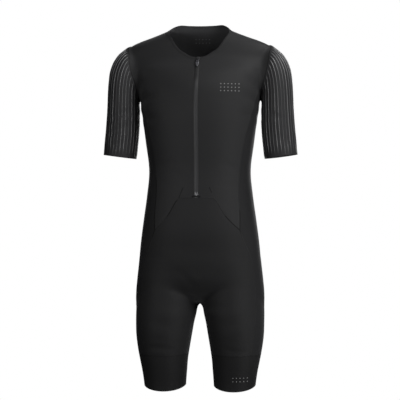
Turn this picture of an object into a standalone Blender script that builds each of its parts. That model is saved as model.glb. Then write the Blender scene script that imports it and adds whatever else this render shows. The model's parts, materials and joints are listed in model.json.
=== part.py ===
"""A short-sleeved, short-legged cycling skinsuit, filled out as if worn.

The cut follows one smooth form: a trunk, two arms and two legs, given as level sections and blended where
they meet. Seams are curves on that form. Each panel is a sheet stretched between its seams and laid on the
form, and its wall goes inwards along the form's own normal, so neighbours stay parallel at their seam.

Metres, +Z up. The front faces -Y and the wearer's left is +X. The origin is the middle of the neck opening,
level with the inner ends of the shoulder seams. "down" is the distance below the origin.
"""

import math

import bmesh
import bpy
import numpy as np

CLOTH = 0.0012  # thickness of every wall of cloth
SEAM = 0.0003  # clear gap between two neighbours
LIFT = 0.0003  # clear gap under what lies on a panel

# ---------------------------------------------------------------- the form, as level sections


def table(columns, *rows):
    """A short table: its columns by name."""
    return dict(zip(columns.split(), np.array(rows, dtype=float).T))


TRUNK = table(
    "down half_width front back",
    (-0.0300, 0.0610, 0.036, 0.060),
    (-0.0205, 0.0655, 0.038, 0.064),
    (-0.0080, 0.0745, 0.039, 0.067),
    (0.0000, 0.0820, 0.041, 0.070),
    (0.0078, 0.0996, 0.043, 0.074),
    (0.0182, 0.1269, 0.045, 0.080),
    (0.0286, 0.1560, 0.047, 0.086),
    (0.0390, 0.1780, 0.050, 0.092),
    (0.0500, 0.1880, 0.053, 0.098),
    (0.0743, 0.1860, 0.061, 0.108),
    (0.1100, 0.1720, 0.088, 0.117),
    (0.1500, 0.1600, 0.108, 0.120),
    (0.1870, 0.1545, 0.114, 0.118),
    (0.2262, 0.1490, 0.115, 0.111),
    (0.2886, 0.1409, 0.109, 0.097),
    (0.3666, 0.1320, 0.100, 0.084),
    (0.4290, 0.1378, 0.101, 0.090),
    (0.4914, 0.1464, 0.103, 0.107),
    (0.5538, 0.1544, 0.099, 0.121),
    (0.6162, 0.1592, 0.093, 0.124),
    (0.6500, 0.1600, 0.084, 0.117),
    (0.6800, 0.1580, 0.062, 0.088),
    (0.7000, 0.1500, 0.034, 0.050),
    (0.7100, 0.1400, 0.010, 0.016),
)
ARM = table(
    "down centre half_width half_depth",
    (0.0403, 0.1830, 0.0040, 0.006),
    (0.0494, 0.1870, 0.0120, 0.022),
    (0.0598, 0.1900, 0.0215, 0.036),
    (0.0754, 0.1930, 0.0305, 0.047),
    (0.1014, 0.1965, 0.0380, 0.055),
    (0.1326, 0.1993, 0.0398, 0.058),
    (0.1638, 0.2006, 0.0406, 0.057),
    (0.1950, 0.2011, 0.0412, 0.056),
    (0.2574, 0.2034, 0.0431, 0.052),
    (0.3198, 0.2097, 0.0433, 0.049),
    (0.3400, 0.2118, 0.0432, 0.048),
)
LEG = table(
    "down centre half_width half_depth middle",
    (0.5800, 0.0780, 0.0640, 0.078, 0.012),
    (0.6400, 0.0830, 0.0740, 0.090, 0.012),
    (0.6900, 0.0865, 0.0785, 0.094, 0.010),
    (0.7254, 0.0880, 0.0791, 0.094, 0.006),
    (0.7566, 0.0914, 0.0757, 0.090, 0.002),
    (0.7878, 0.0936, 0.0725, 0.085, 0.000),
    (0.8190, 0.0944, 0.0679, 0.079, -0.001),
    (0.8502, 0.0939, 0.0627, 0.073, -0.002),
    (0.8814, 0.0920, 0.0583, 0.067, -0.002),
    (0.9126, 0.0908, 0.0548, 0.062, -0.002),
    (0.9400, 0.0900, 0.0530, 0.060, -0.002),
)
TRUNK_SQUARENESS = 2.25
ARM_MIDDLE = 0.004  # how far behind the trunk's middle plane the arm's axis runs
CROTCH_DOWN = 0.706
LEG_BLEND = 0.020
ARM_BLEND = table("down width", (0.040, 0.008), (0.080, 0.022), (0.130, 0.024), (0.187, 0.009), (0.250, 0.006))
ARM_END = 0.345
LEG_START = 0.590


def read(source, column, where, by="down"):
    """A column at any value of the column named by: a smooth cubic through its rows, level past both ends."""
    at, value = source[by], source[column]
    slope = np.gradient(value, at)
    where = np.clip(where, at[0], at[-1])
    row = np.clip(np.searchsorted(at, where) - 1, 0, len(at) - 2)
    span = at[row + 1] - at[row]
    t = (where - at[row]) / span
    rise = value[row + 1] - value[row]
    return (
        value[row]
        + rise * t * t * (3 - 2 * t)
        + span * t * (1 - t) * (slope[row] * (1 - t) - slope[row + 1] * t)
    )


def blended(a, b, width):
    """The smaller of two distances, rounded over a width where they are alike."""
    near = np.maximum(width - np.abs(a - b), 0.0) / width
    return np.minimum(a, b) - near * near * width / 4


def oval(across, along, half_width, half_depth, power=2.0):
    """Signed distance from a level oval, nearly: negative inside."""
    reach = (np.abs(across / half_width) ** power + np.abs(along / half_depth) ** power) ** (1 / power)
    return (reach - 1) * np.sqrt(half_width * half_depth)


def form(points):
    """Signed distance from the whole form, nearly: negative inside."""
    x, y, down = np.abs(points[..., 0]), points[..., 1], -points[..., 2]
    depth = np.where(y < 0, read(TRUNK, "front", down), read(TRUNK, "back", down))
    trunk = oval(x, y, read(TRUNK, "half_width", down), depth, TRUNK_SQUARENESS)
    trunk = -blended(-trunk, CROTCH_DOWN - down, LEG_BLEND)
    arm = oval(
        x - read(ARM, "centre", down),
        y - ARM_MIDDLE,
        read(ARM, "half_width", down),
        read(ARM, "half_depth", down),
    )
    arm = arm + 2 * np.maximum(down - ARM_END, 0) + 2 * np.maximum(ARM["down"][0] - down, 0)
    leg = oval(
        x - read(LEG, "centre", down),
        y - read(LEG, "middle", down),
        read(LEG, "half_width", down),
        read(LEG, "half_depth", down),
    )
    leg = leg + 2 * np.maximum(LEG_START - down, 0)
    return blended(blended(trunk, arm, read(ARM_BLEND, "width", down)), leg, LEG_BLEND)


def slope_of(points, step=0.0004):
    """The form's gradient, by central differences."""
    sides = np.eye(3) * step
    return np.stack([(form(points + s) - form(points - s)) / (2 * step) for s in sides], axis=-1)


def normals(points):
    """The form's outward unit normals."""
    slope = slope_of(points)
    return slope / np.linalg.norm(slope, axis=-1, keepdims=True)


def settled(points, rounds=14, longest=0.015):
    """The points moved along the form's slope until they lie on it."""
    points = np.array(points, dtype=float)
    for _ in range(rounds):
        slope = slope_of(points)
        move = -form(points)[..., None] * slope / (slope * slope).sum(-1, keepdims=True)
        length = np.linalg.norm(move, axis=-1, keepdims=True)
        points += move * np.minimum(1, longest / np.maximum(length, 1e-9))
    return points


def reached(start, direction, longest=0.30, steps=150):
    """Where rays from inside the form first leave it."""
    start, direction = np.atleast_2d(start).astype(float), np.atleast_2d(direction).astype(float)
    ways = np.linspace(0, longest, steps)
    outside = form(start[:, None] + ways[None, :, None] * direction[:, None]) > 0
    first = np.argmax(outside, axis=1)
    low, high = ways[np.maximum(first - 1, 0)], ways[first]
    for _ in range(30):
        middle = (low + high) / 2
        out = form(start + middle[:, None] * direction) > 0
        low, high = np.where(out, low, middle), np.where(out, middle, high)
    return start + low[:, None] * direction


# ---------------------------------------------------------------- seams, as curves on the form


def smooth_line(marks, count=400):
    """A smooth curve through marks, by chord length."""
    marks = np.asarray(marks, dtype=float)
    way = np.concatenate([[0], np.cumsum(np.linalg.norm(np.diff(marks, axis=0), axis=1))])
    at = np.linspace(0, way[-1], count)
    columns = [read({"way": way, "value": marks[:, k]}, "value", at, by="way") for k in range(marks.shape[1])]
    return np.stack(columns, axis=1)


def at_shares(line, shares):
    """The points at shares of a line's length."""
    way = np.concatenate([[0], np.cumsum(np.linalg.norm(np.diff(line, axis=0), axis=1))])
    return np.stack([np.interp(np.asarray(shares) * way[-1], way, line[:, k]) for k in range(3)], axis=1)


def evenly(line, count):
    """count + 1 points evenly spaced along a line, ends kept."""
    return at_shares(line, np.linspace(0, 1, count + 1))


def seam(marks, count):
    """A seam of count pieces through marks, laid on the form."""
    points = evenly(settled(smooth_line(marks)), count)
    ends = points[[0, -1]].copy()
    points = settled(points)
    points[[0, -1]] = ends
    return points


def seen(side, rows):
    """Marks on the front (side -1) or the back (side 1), from rows of distance across and down."""
    rows = np.asarray(rows, dtype=float)
    start = np.stack([rows[:, 0], 0 * rows[:, 0], -rows[:, 1]], axis=1)
    return reached(start, np.tile([0.0, side, 0.0], (len(rows), 1)))


FRONT, BACK = -1.0, 1.0
ON_PLANE = 1e-6  # closer than this to the middle plane counts as on it
HEIGHT_ORDER = np.array((0.11, 0.37, 1.0))  # weighs x, y and z to say which of two points is the upper one
ZIP_HALF = 0.0058  # half of the zip's width between the fronts
BINDING = 0.007

NECKLINE = table(
    "angle down",
    (0, 0.0743),
    (18, 0.0710),
    (30, 0.0629),
    (44, 0.0504),
    (52, 0.0366),
    (61, 0.0193),
    (73, 0.0040),
    (90, -0.0045),
    (105, -0.0125),
    (125, -0.0195),
    (150, -0.0205),
    (180, -0.0205),
)
SHOULDER_ANGLE = 83  # where the shoulder seam leaves the neckline, from the front

ARMHOLE = table(
    "down across",
    (0.035, 0.1860),
    (0.050, 0.1845),
    (0.062, 0.1815),
    (0.088, 0.1785),
    (0.114, 0.1730),
    (0.137, 0.1660),
    (0.152, 0.1620),
    (0.170, 0.1588),
    (0.187, 0.1565),
    (0.200, 0.1560),
    (0.260, 0.1530),
)
ARMHOLE_MIDDLE = (0.003, 0.115)  # y and down of the point the armhole runs round
ARMHOLE_REACH = 0.12  # no part of the armhole is farther from that point
SHOULDER_FORWARD = 0.007  # how far in front of the middle plane the shoulder seam ends
SEAM_CLEAR = 0.001  # how far from the armhole's plane the rows on its two sides keep

PEAK = ((ZIP_HALF, 0.4344), (0.0250, 0.4344), (0.0443, 0.4346))
PEAK_SIDE = (
    (0.0443, 0.4346),
    (0.0526, 0.4440),
    (0.0632, 0.4622),
    (0.0733, 0.4786),
    (0.0900, 0.4978),
    (0.1090, 0.5159),
)
SIDE_FRONT_TRUNK = (
    (0.1300, 0.248),
    (0.1150, 0.310),
    (0.1080, 0.363),
    (0.1055, 0.420),
    (0.1090, 0.475),
    (0.1090, 0.5159),
)
SIDE_FRONT_LEG = (
    (0.1090, 0.5159),
    (0.1200, 0.5480),
    (0.1350, 0.5850),
    (0.1440, 0.6300),
    (0.1480, 0.7000),
    (0.1460, 0.7600),
    (0.1400, 0.8100),
    (0.1350, 0.8370),
)
SIDE_BACK_TRUNK = ((0.1300, 0.260), (0.1120, 0.320), (0.1050, 0.370), (0.1080, 0.430), (0.1160, 0.500))
SIDE_BACK_LEG = (
    (0.1160, 0.500),
    (0.1250, 0.570),
    (0.1350, 0.640),
    (0.1400, 0.700),
    (0.1370, 0.760),
    (0.1320, 0.810),
    (0.1280, 0.837),
)
SEAT = ((0.0, 0.485), (0.050, 0.488), (0.090, 0.496), (0.116, 0.500))
SEAT_PIVOT = (0.0, 0.006, -0.640)  # the centre line turns under the body round this point
BAND_TOP = 0.837
HEM_DOWN = 0.918
HEM_FRONT_DIP, HEM_ROUND_DIP = 0.0065, 0.0055
CUFF_DOWN = 0.327
CUFF_MIDDLE = 0.2110
CUFF_TILT = 0.128  # the cuff falls this much towards the body

RIBS = 30  # round each sleeve, and the points round the armhole
RIB_CROWDING = 0.4  # how close the ribs stand at the top of the armhole, as a share of even spacing
RIB_CROWDING_POWER = 2.5  # how soon they open out away from there
FRONT_HOLE, UNDER_HOLE = 12, 5  # of them along the front and under the arm
BACK_HOLE = RIBS - FRONT_HOLE - UNDER_HOLE
TRUNK_ROWS = 14
PELVIS_ROWS, THIGH_ROWS = 9, 5
NECK_COLUMNS, SHOULDER_COLUMNS = 6, 5
PEAK_COLUMNS = 3
PEAK_SIDE_COLUMNS = NECK_COLUMNS + SHOULDER_COLUMNS - PEAK_COLUMNS
BACK_NECK_COLUMNS = 5
SLEEVE_ROWS = 12
BAND_ROWS = 3
RIB_HEIGHT = 0.0008
RIB_HALF = 0.18  # half a rib's width, as a share of the distance between ribs
RIB_FADE = 0.4  # the power by which the ribs sink towards the sleeve's two ends
CAP_TURN, CAP_SHAPE = 4, 6  # the powers by which a rib's turn and the armhole's shape die out down the sleeve
RIB_DROP, RIB_DROP_ROUND = 1.55, 0.45  # the power of a rib's rows, and its change from outside to inside

STOP = table(  # the bottom stop, a staple pressed on the tapes
    "along half_width slot",
    (-0.0046, 0.0038, 0.0011),
    (0.0006, 0.0040, 0.0011),
    (0.0024, 0.0036, 0.0010),
    (0.0046, 0.0014, 0.0004),
)
STOP_DOWN, STOP_THICK = 0.4238, 0.0014
SLIDER = table(
    "along half_width slot",
    (-0.0062, 0.0034, 0.0011),
    (-0.0048, 0.0045, 0.0012),
    (-0.0038, 0.0047, 0.0012),
    (0.0038, 0.0036, 0.0012),
    (0.0048, 0.0030, 0.0012),
    (0.0062, 0.0022, 0.0011),
)
SLIDER_DOWN, SLIDER_THICK = 0.0850, 0.0016
BRIDGE_FEET = (1, 3)  # the rows of the slider that its bridge stands on
PULL = table(
    "along half_width slot",
    (-0.0005, 0.0032, 0.0020),
    (0.0005, 0.0032, 0.0020),
    (0.0053, 0.0034, 0.0020),
    (0.0085, 0.0040, 0.0018),
    (0.0140, 0.0031, 0.0014),
    (0.0195, 0.0019, 0.0009),
    (0.0215, 0.0010, 0.0005),
)
PULL_EYE = 1  # the row of the pull that is open, for the bridge
PULL_HALF = 0.0005  # half of the pull's thickness
PULL_CLEAR = 0.0004  # clear gap round the pull's bar
BRIDGE_THICK = 0.0008
PULL_RANGE = 0.0225  # how far down from the hinge the cloth is kept clear of the pull

# colour, roughness and metalness of each finish
FABRIC = ((0.023, 0.023, 0.024), 0.62, 0.0)
SIDE_FABRIC = ((0.016, 0.016, 0.017), 0.70, 0.0)
SLEEVE_FABRIC = ((0.028, 0.028, 0.030), 0.40, 0.0)
BAND_FABRIC = ((0.020, 0.020, 0.021), 0.60, 0.0)
ZIP_COATING = ((0.040, 0.040, 0.042), 0.35, 0.0)
DARK_METAL = ((0.060, 0.060, 0.065), 0.35, 1.0)
BRIGHT_METAL = ((0.300, 0.300, 0.310), 0.30, 1.0)



def neckline(angles):
    """The neckline at angles round the neck, from the front."""
    down = read(NECKLINE, "down", angles, by="angle")
    turn = np.radians(angles)
    start = np.stack([0 * down, 0 * down, -down], axis=1)
    return reached(start, np.stack([np.sin(turn), -np.cos(turn), 0 * turn], axis=1))


def armhole():
    """The armhole, RIBS points evenly round it, from the shoulder seam forwards."""
    turn = np.radians(np.linspace(0, 360, 721))
    low, high = np.zeros(len(turn)), np.full(len(turn), ARMHOLE_REACH)
    middle_y, middle_down = ARMHOLE_MIDDLE

    def at(way):
        down = middle_down - way * np.cos(turn)
        return np.stack([read(ARMHOLE, "across", down), middle_y - way * np.sin(turn), -down], axis=1)

    for _ in range(40):
        middle = (low + high) / 2
        out = form(at(middle)) > 0
        low, high = np.where(out, low, middle), np.where(out, middle, high)
    loop = at(low)
    first_turn = loop[: len(loop) // 12]
    start = np.argmin(np.abs(first_turn[:, 1] + SHOULDER_FORWARD))
    loop = np.concatenate([loop[start:-1], loop[: start + 1]])
    share = np.linspace(-1, 1, RIBS + 1)
    away = np.abs(share)
    crowded = np.sign(share) * (RIB_CROWDING * away + (1 - RIB_CROWDING) * away**RIB_CROWDING_POWER)
    order = np.roll(crowded[:-1] % 2 / 2, -RIBS // 2)
    return at_shares(loop, order)


def beside(line, distance):
    """A line on the form, moved sideways over it, to the right of its own direction seen from outside."""
    along = np.gradient(line, axis=0)
    across = np.cross(along, normals(line))
    across /= np.linalg.norm(across, axis=1, keepdims=True)
    return settled(line + distance * across)


def under_seat(side, angles):
    """The centre line under the body, at angles below level towards one side."""
    turn = np.radians(angles)
    way = np.stack([0 * turn, side * np.cos(turn), -np.sin(turn)], axis=1)
    return reached(np.tile(SEAT_PIVOT, (len(turn), 1)), way)


def round_leg(level, count_angles):
    """Points round the wearer's left leg: level gives how far down each lies, from its angle."""
    turn = np.radians(count_angles)
    down = level(turn)
    start = np.stack([read(LEG, "centre", down), read(LEG, "middle", down), -down], axis=1)
    return reached(start, np.stack([np.sin(turn), -np.cos(turn), 0 * turn], axis=1))


def hem_level(turn):
    """The hem dips in front and a little behind."""
    return HEM_DOWN + HEM_FRONT_DIP * np.cos(turn) + HEM_ROUND_DIP * np.cos(turn) ** 2


def band_level(turn):
    """The seam above the leg band runs level."""
    return BAND_TOP + 0 * turn


# ---------------------------------------------------------------- sheets between seams

def sheet(bottom, top, left, right, rounds=60):
    """A grid between four seams that share their corners, laid on the form and evened out.

    Each point is the sum of the two straight blends between facing seams, less the blend of the corners.
    """
    u = np.linspace(0, 1, len(bottom))[None, :, None]
    v = np.linspace(0, 1, len(left))[:, None, None]
    grid = (1 - v) * bottom[None] + v * top[None] + (1 - u) * left[:, None] + u * right[:, None]
    grid = grid - (
        (1 - u) * (1 - v) * bottom[0] + u * (1 - v) * bottom[-1] + (1 - u) * v * top[0] + u * v * top[-1]
    )
    inner = grid[1:-1, 1:-1]
    for _ in range(rounds):
        mean = (grid[:-2, 1:-1] + grid[2:, 1:-1] + grid[1:-1, :-2] + grid[1:-1, 2:]) / 4
        inner[:] = settled(mean, rounds=2)
        down = -inner[..., 2]
        sleeve_side = np.where(down < ARM_END, read(ARMHOLE, "across", down) - SEAM_CLEAR, 1.0)
        inner[..., 0] = np.clip(np.abs(inner[..., 0]), 0, sleeve_side)  # never over the middle or on the arm
    inner[:] = settled(inner)
    return grid


def grid_faces(rows, columns, closed=False):
    """Quads over a grid of points, row by row, joined round where closed."""
    r, c = np.meshgrid(np.arange(rows - 1), np.arange(columns if closed else columns - 1), indexing="ij")
    after = (c + 1) % columns
    quads = np.stack([r * columns + c, r * columns + after, (r + 1) * columns + after, (r + 1) * columns + c])
    return quads.reshape(4, -1).T


def facing_out(points, faces):
    """The faces, turned over if they look into the form."""
    a, b, c = (points[faces[:, k]] for k in range(3))
    across = (np.cross(b - a, c - a) * normals(points)[faces[:, 0]]).sum()
    return faces if across > 0 else faces[:, [0, 3, 2, 1]]


def turned_over(face):
    """A face looking the other way, with its first corner, and so its diagonal, kept."""
    return (face[0], *reversed(face[1:]))


def rim_of(faces):
    """The directed edges that only one face has."""
    edges = {(f[k], f[(k + 1) % len(f)]) for f in faces.tolist() for k in range(len(f))}
    return [e for e in edges if e[::-1] not in edges]


def in_plane(points, edge):
    """Whether an edge lies in the middle plane, where a half is left open."""
    return bool((np.abs(points[list(edge), 0]) < ON_PLANE).all())


def drawn_in(points, faces, distance):
    """The sheet with its edges drawn in over the form, square to each edge and mitred at the corners."""
    normal = normals(points)
    after = {a: b for a, b in rim_of(faces)}
    before = {b: a for a, b in after.items()}
    result = points.copy()

    def inward(a, b, at):
        if in_plane(points, (a, b)):
            return None
        way = np.cross(normal[at], points[b] - points[a])
        return way / np.linalg.norm(way)

    for at in after:
        ways = [w for w in (inward(before[at], at, at), inward(at, after[at], at)) if w is not None]
        if len(ways) == 2:
            result[at] += distance * (ways[0] + ways[1]) / max(1 + ways[0] @ ways[1], 0.25)
        elif ways:
            free = (0, 1, 1) if abs(points[at, 0]) < ON_PLANE else (1, 1, 1)
            result[at] += distance * ways[0] * free
    return result


def wall(points, faces):
    """A closed wall of cloth on a sheet: outer face, inner face, and a rim but for the middle plane.

    Each piece of the rim is two triangles, cut from its upper outer corner, so that both sides of a seam
    twist alike.
    """
    faces = facing_out(points, faces)
    outer = drawn_in(points, faces, SEAM / 2)
    inner = outer - CLOTH * normals(outer)
    count = len(outer)
    every = [tuple(f) for f in faces.tolist()]
    every += [tuple(i + count for i in turned_over(f)) for f in faces.tolist()]
    height = points @ HEIGHT_ORDER
    for a, b in rim_of(faces):
        if in_plane(points, (a, b)):
            continue
        if height[a] > height[b]:
            every += [(b, a, b + count), (a, a + count, b + count)]
        else:
            every += [(b, a, a + count), (b, a + count, b + count)]
    return np.concatenate([outer, inner]), every


# ---------------------------------------------------------------- objects


def collection_for(name):
    """A new collection in the scene."""
    made = bpy.data.collections.new(name)
    bpy.context.scene.collection.children.link(made)
    return made


def material_for(name, colour, roughness, metallic):
    """A plain Principled material."""
    made = bpy.data.materials.new(name)
    made.use_nodes = True
    shader = made.node_tree.nodes["Principled BSDF"]
    shader.inputs["Base Color"].default_value = (*colour, 1.0)
    shader.inputs["Roughness"].default_value = roughness
    shader.inputs["Metallic"].default_value = metallic
    return made


def object_for(name, mesh, finish):
    """One named sub-part with its own material."""
    mesh.materials.append(material_for(name, *finish))
    made = bpy.data.objects.new(name, mesh)
    SUIT.objects.link(made)
    return made


def cloth_object(name, points, faces, finish):
    """A sub-part from a wall's points and faces, shaded smooth but for its rim."""
    mesh = bpy.data.meshes.new(name)
    mesh.from_pydata(points.tolist(), [], [list(f) for f in faces])
    mesh.shade_smooth()
    mesh.set_sharp_from_angle(angle=math.radians(50))
    return object_for(name, mesh, finish)


def mirrored(points, faces):
    """The same wall on the wearer's other side."""
    return points * (-1, 1, 1), [turned_over(f) for f in faces]


def both_sides(name, points, faces, finish):
    """NAME_left and NAME_right, mirror images."""
    cloth_object(f"{name}_left", points, faces, finish)
    cloth_object(f"{name}_right", *mirrored(points, faces), finish)


def across_middle(name, points, faces, finish):
    """A piece that crosses the middle: a half, open at the plane, and a Mirror."""
    made = cloth_object(name, points, faces, finish)
    mirror = made.modifiers.new("Mirror", "MIRROR")
    mirror.use_axis = (True, False, False)
    mirror.use_mirror_merge = True
    mirror.merge_threshold = 0.00002


# ---------------------------------------------------------------- the cut


def trunk_seams():
    """Every seam of the wearer's left half, as shared arrays of points."""
    hole = armhole()
    cut = {"hole": hole}
    neck_front = np.linspace(0, SHOULDER_ANGLE, 300)
    line = neckline(neck_front)
    line = line[line[:, 0] >= ZIP_HALF]
    line[0, 0] = ZIP_HALF
    cut["neck_front"] = settled(evenly(line, NECK_COLUMNS))
    cut["neck_back"] = settled(evenly(neckline(np.linspace(SHOULDER_ANGLE, 180, 300)), BACK_NECK_COLUMNS))
    cut["neck_back"][0] = cut["neck_front"][-1]
    cut["neck_back"][-1, 0] = 0
    whole = np.concatenate([cut["neck_front"], cut["neck_back"][1:]])
    seat_line = beside(whole, BINDING)
    seat_line[0, 0], seat_line[-1, 0] = ZIP_HALF, 0
    seat_line[[0, -1]] = settled(seat_line[[0, -1]])
    cut["bound_front"] = seat_line[: NECK_COLUMNS + 1]
    cut["bound_back"] = seat_line[NECK_COLUMNS:]
    cut["neck"], cut["bound"] = whole, seat_line

    cut["shoulder"] = seam([seat_line[NECK_COLUMNS], hole[0]], SHOULDER_COLUMNS)
    cut["hole_front"] = hole[: FRONT_HOLE + 1]
    cut["hole_under"] = hole[FRONT_HOLE : FRONT_HOLE + UNDER_HOLE + 1]
    cut["hole_back"] = np.concatenate([hole[FRONT_HOLE + UNDER_HOLE :], hole[:1]])

    top = seen(FRONT, PEAK)
    cut["peak"] = seam(top, PEAK_COLUMNS)
    cut["peak_side"] = seam(seen(FRONT, PEAK_SIDE), PEAK_SIDE_COLUMNS)
    cut["peak_side"][0] = cut["peak"][-1]
    cut["side_front"] = seam(
        np.concatenate([cut["hole_under"][:1], seen(FRONT, SIDE_FRONT_TRUNK)]), TRUNK_ROWS
    )
    cut["side_front"][-1] = cut["peak_side"][-1]
    cut["side_back"] = seam(
        np.concatenate([cut["hole_under"][-1:], seen(BACK, SIDE_BACK_TRUNK)]), TRUNK_ROWS
    )
    cut["seat"] = seam(seen(BACK, SEAT), BACK_NECK_COLUMNS + SHOULDER_COLUMNS)
    cut["seat"][0, 0] = 0
    cut["seat"][-1] = cut["side_back"][-1]

    zip_marks = seen(FRONT, [(ZIP_HALF, d) for d in np.linspace(-seat_line[0, 2], PEAK[0][1], 60)])
    zip_marks[0], zip_marks[-1] = cut["bound_front"][0], cut["peak"][0]
    cut["zip"] = evenly(zip_marks, FRONT_HOLE + TRUNK_ROWS)
    return cut


def leg_seams(cut):
    """The seams below the trunk: centre lines, crotch, inseam, outer leg and band."""
    rows = PELVIS_ROWS + THIGH_ROWS
    front_leg = seam(seen(FRONT, SIDE_FRONT_LEG), rows)
    front_leg[0] = cut["peak_side"][-1]
    back_leg = seam(seen(BACK, SIDE_BACK_LEG), rows)
    back_leg[0] = cut["side_back"][-1]
    turn_front = angle_on_leg(front_leg[-1])
    turn_back = angle_on_leg(back_leg[-1])
    inside = 268.0

    crotch = under_seat(FRONT, [90.0])
    centre_front = np.concatenate(
        [
            seen(FRONT, [(0, d) for d in np.linspace(PEAK[0][1], -SEAT_PIVOT[2], 12)]),
            under_seat(FRONT, np.linspace(0, 90, 16)[1:]),
        ]
    )
    centre_back = np.concatenate(
        [
            seen(BACK, [(0, d) for d in np.linspace(SEAT[0][1], -SEAT_PIVOT[2], 10)]),
            under_seat(BACK, np.linspace(0, 90, 16)[1:]),
        ]
    )
    inseam_level = np.linspace(-crotch[0, 2] + 0.012, BAND_TOP, 10)
    inseam = np.concatenate(
        [crotch, [round_leg(lambda t: 0 * t + level, [inside])[0] for level in inseam_level]]
    )
    cut["centre_front"] = seam(centre_front, PELVIS_ROWS)
    cut["centre_back"] = seam(centre_back, PELVIS_ROWS)
    cut["centre_front"][:, 0] = cut["centre_back"][:, 0] = 0
    cut["inseam"] = seam(inseam, THIGH_ROWS)
    cut["leg_front"], cut["leg_back"] = front_leg, back_leg

    front_columns = 1 + PEAK_COLUMNS + PEAK_SIDE_COLUMNS
    back_columns = BACK_NECK_COLUMNS + SHOULDER_COLUMNS
    angles = np.concatenate(
        [
            np.linspace(inside - 360, turn_front, front_columns + 1)[:-1],
            np.linspace(turn_front, turn_back, UNDER_HOLE + 1)[:-1],
            np.linspace(turn_back, inside, back_columns + 1)[:-1],
        ]
    )
    ring = round_leg(band_level, angles)
    ring[0] = cut["inseam"][-1]
    ring[front_columns], ring[front_columns + UNDER_HOLE] = front_leg[-1], back_leg[-1]
    cut["band_top"], cut["band_angles"] = ring, angles
    cut["band_front"] = ring[: front_columns + 1]
    cut["band_side"] = ring[front_columns : front_columns + UNDER_HOLE + 1]
    cut["band_back"] = np.concatenate([ring[front_columns + UNDER_HOLE :], ring[:1]])
    return cut


def angle_on_leg(point):
    """A point's angle round the leg's axis, from the front towards the outside, in degrees."""
    down = -point[2]
    return math.degrees(math.atan2(point[0] - read(LEG, "centre", down), read(LEG, "middle", down) - point[1]))


def make_fronts(cut):
    """Front panels, from the peak seam up to the neck and shoulder."""
    bottom = np.concatenate([cut["peak"], cut["peak_side"][1:]])
    top = np.concatenate([cut["bound_front"], cut["shoulder"][1:]])
    right = np.concatenate([cut["side_front"][::-1], cut["hole_front"][::-1][1:]])
    grid = sheet(bottom, top, cut["zip"][::-1], right)
    points, faces = wall(grid.reshape(-1, 3), grid_faces(*grid.shape[:2]))
    both_sides("front", points, faces, FABRIC)


def make_back(cut):
    """The back, from the seat seam up to the neck and shoulders."""
    top = np.concatenate([cut["bound_back"][::-1], cut["shoulder"][1:]])
    right = np.concatenate([cut["side_back"][::-1], cut["hole_back"][1:]])
    count = len(right) - 1
    centre = seen(BACK, [(0, d) for d in np.linspace(SEAT[0][1], -cut["bound_back"][-1, 2], 60)])
    centre[0], centre[-1] = cut["seat"][0], cut["bound_back"][-1]
    centre = evenly(centre, count)
    grid = sheet(cut["seat"], top, centre, right)
    grid[:, 0, 0] = 0
    points, faces = wall(grid.reshape(-1, 3), grid_faces(*grid.shape[:2]))
    across_middle("back", points, faces, FABRIC)


def make_sides(cut):
    """Side panels, from under the arm to the leg band."""
    left = np.concatenate([cut["side_front"], cut["leg_front"][1:]])[::-1]
    right = np.concatenate([cut["side_back"], cut["leg_back"][1:]])[::-1]
    grid = sheet(cut["band_side"], cut["hole_under"], left, right)
    points, faces = wall(grid.reshape(-1, 3), grid_faces(*grid.shape[:2]))
    both_sides("side", points, faces, SIDE_FABRIC)


def make_shorts(cut):
    """Front and back of the shorts: each crosses the middle above the crotch, and has both legs."""
    peak = np.concatenate([cut["centre_front"][:1], cut["peak"], cut["peak_side"][1:]])
    left = np.concatenate([cut["centre_front"], cut["inseam"][1:]])
    grid = sheet(cut["band_front"], peak, left[::-1], cut["leg_front"][::-1])
    points, faces = wall(grid.reshape(-1, 3), grid_faces(*grid.shape[:2]))
    across_middle("shorts_front", points, faces, FABRIC)

    left = np.concatenate([cut["centre_back"], cut["inseam"][1:]])
    grid = sheet(cut["band_back"][::-1], cut["seat"], left[::-1], cut["leg_back"][::-1])
    points, faces = wall(grid.reshape(-1, 3), grid_faces(*grid.shape[:2]))
    across_middle("shorts_back", points, faces, FABRIC)


def make_leg_bands(cut):
    """The bands at the end of the legs."""
    hem = round_leg(hem_level, cut["band_angles"])
    share = np.linspace(0, 1, BAND_ROWS + 1)[:, None, None]
    grid = settled((1 - share) * cut["band_top"] + share * hem)
    grid[0], grid[-1] = cut["band_top"], hem
    points, faces = wall(grid.reshape(-1, 3), grid_faces(*grid.shape[:2], closed=True))
    both_sides("leg_band", points, faces, BAND_FABRIC)


def cuff():
    """The cuff's edge, RIBS points round it from the outside forwards."""
    turn = np.radians(np.linspace(0, 360, 361))
    way_x, way_y = np.cos(turn), -np.sin(turn)
    direction = np.stack([way_x, way_y, CUFF_TILT * way_x], axis=1)
    middle = np.tile([CUFF_MIDDLE, ARM_MIDDLE, -CUFF_DOWN], (len(turn), 1))
    return settled(evenly(reached(middle, direction), RIBS)[:-1], rounds=1)


def on_arm(turn, down):
    """Points of the bare arm's section, at angles from the outside forwards."""
    x = read(ARM, "centre", down) + read(ARM, "half_width", down) * np.cos(turn)
    y = ARM_MIDDLE - read(ARM, "half_depth", down) * np.sin(turn)
    return np.stack([x, y, -down], axis=-1)


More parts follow.
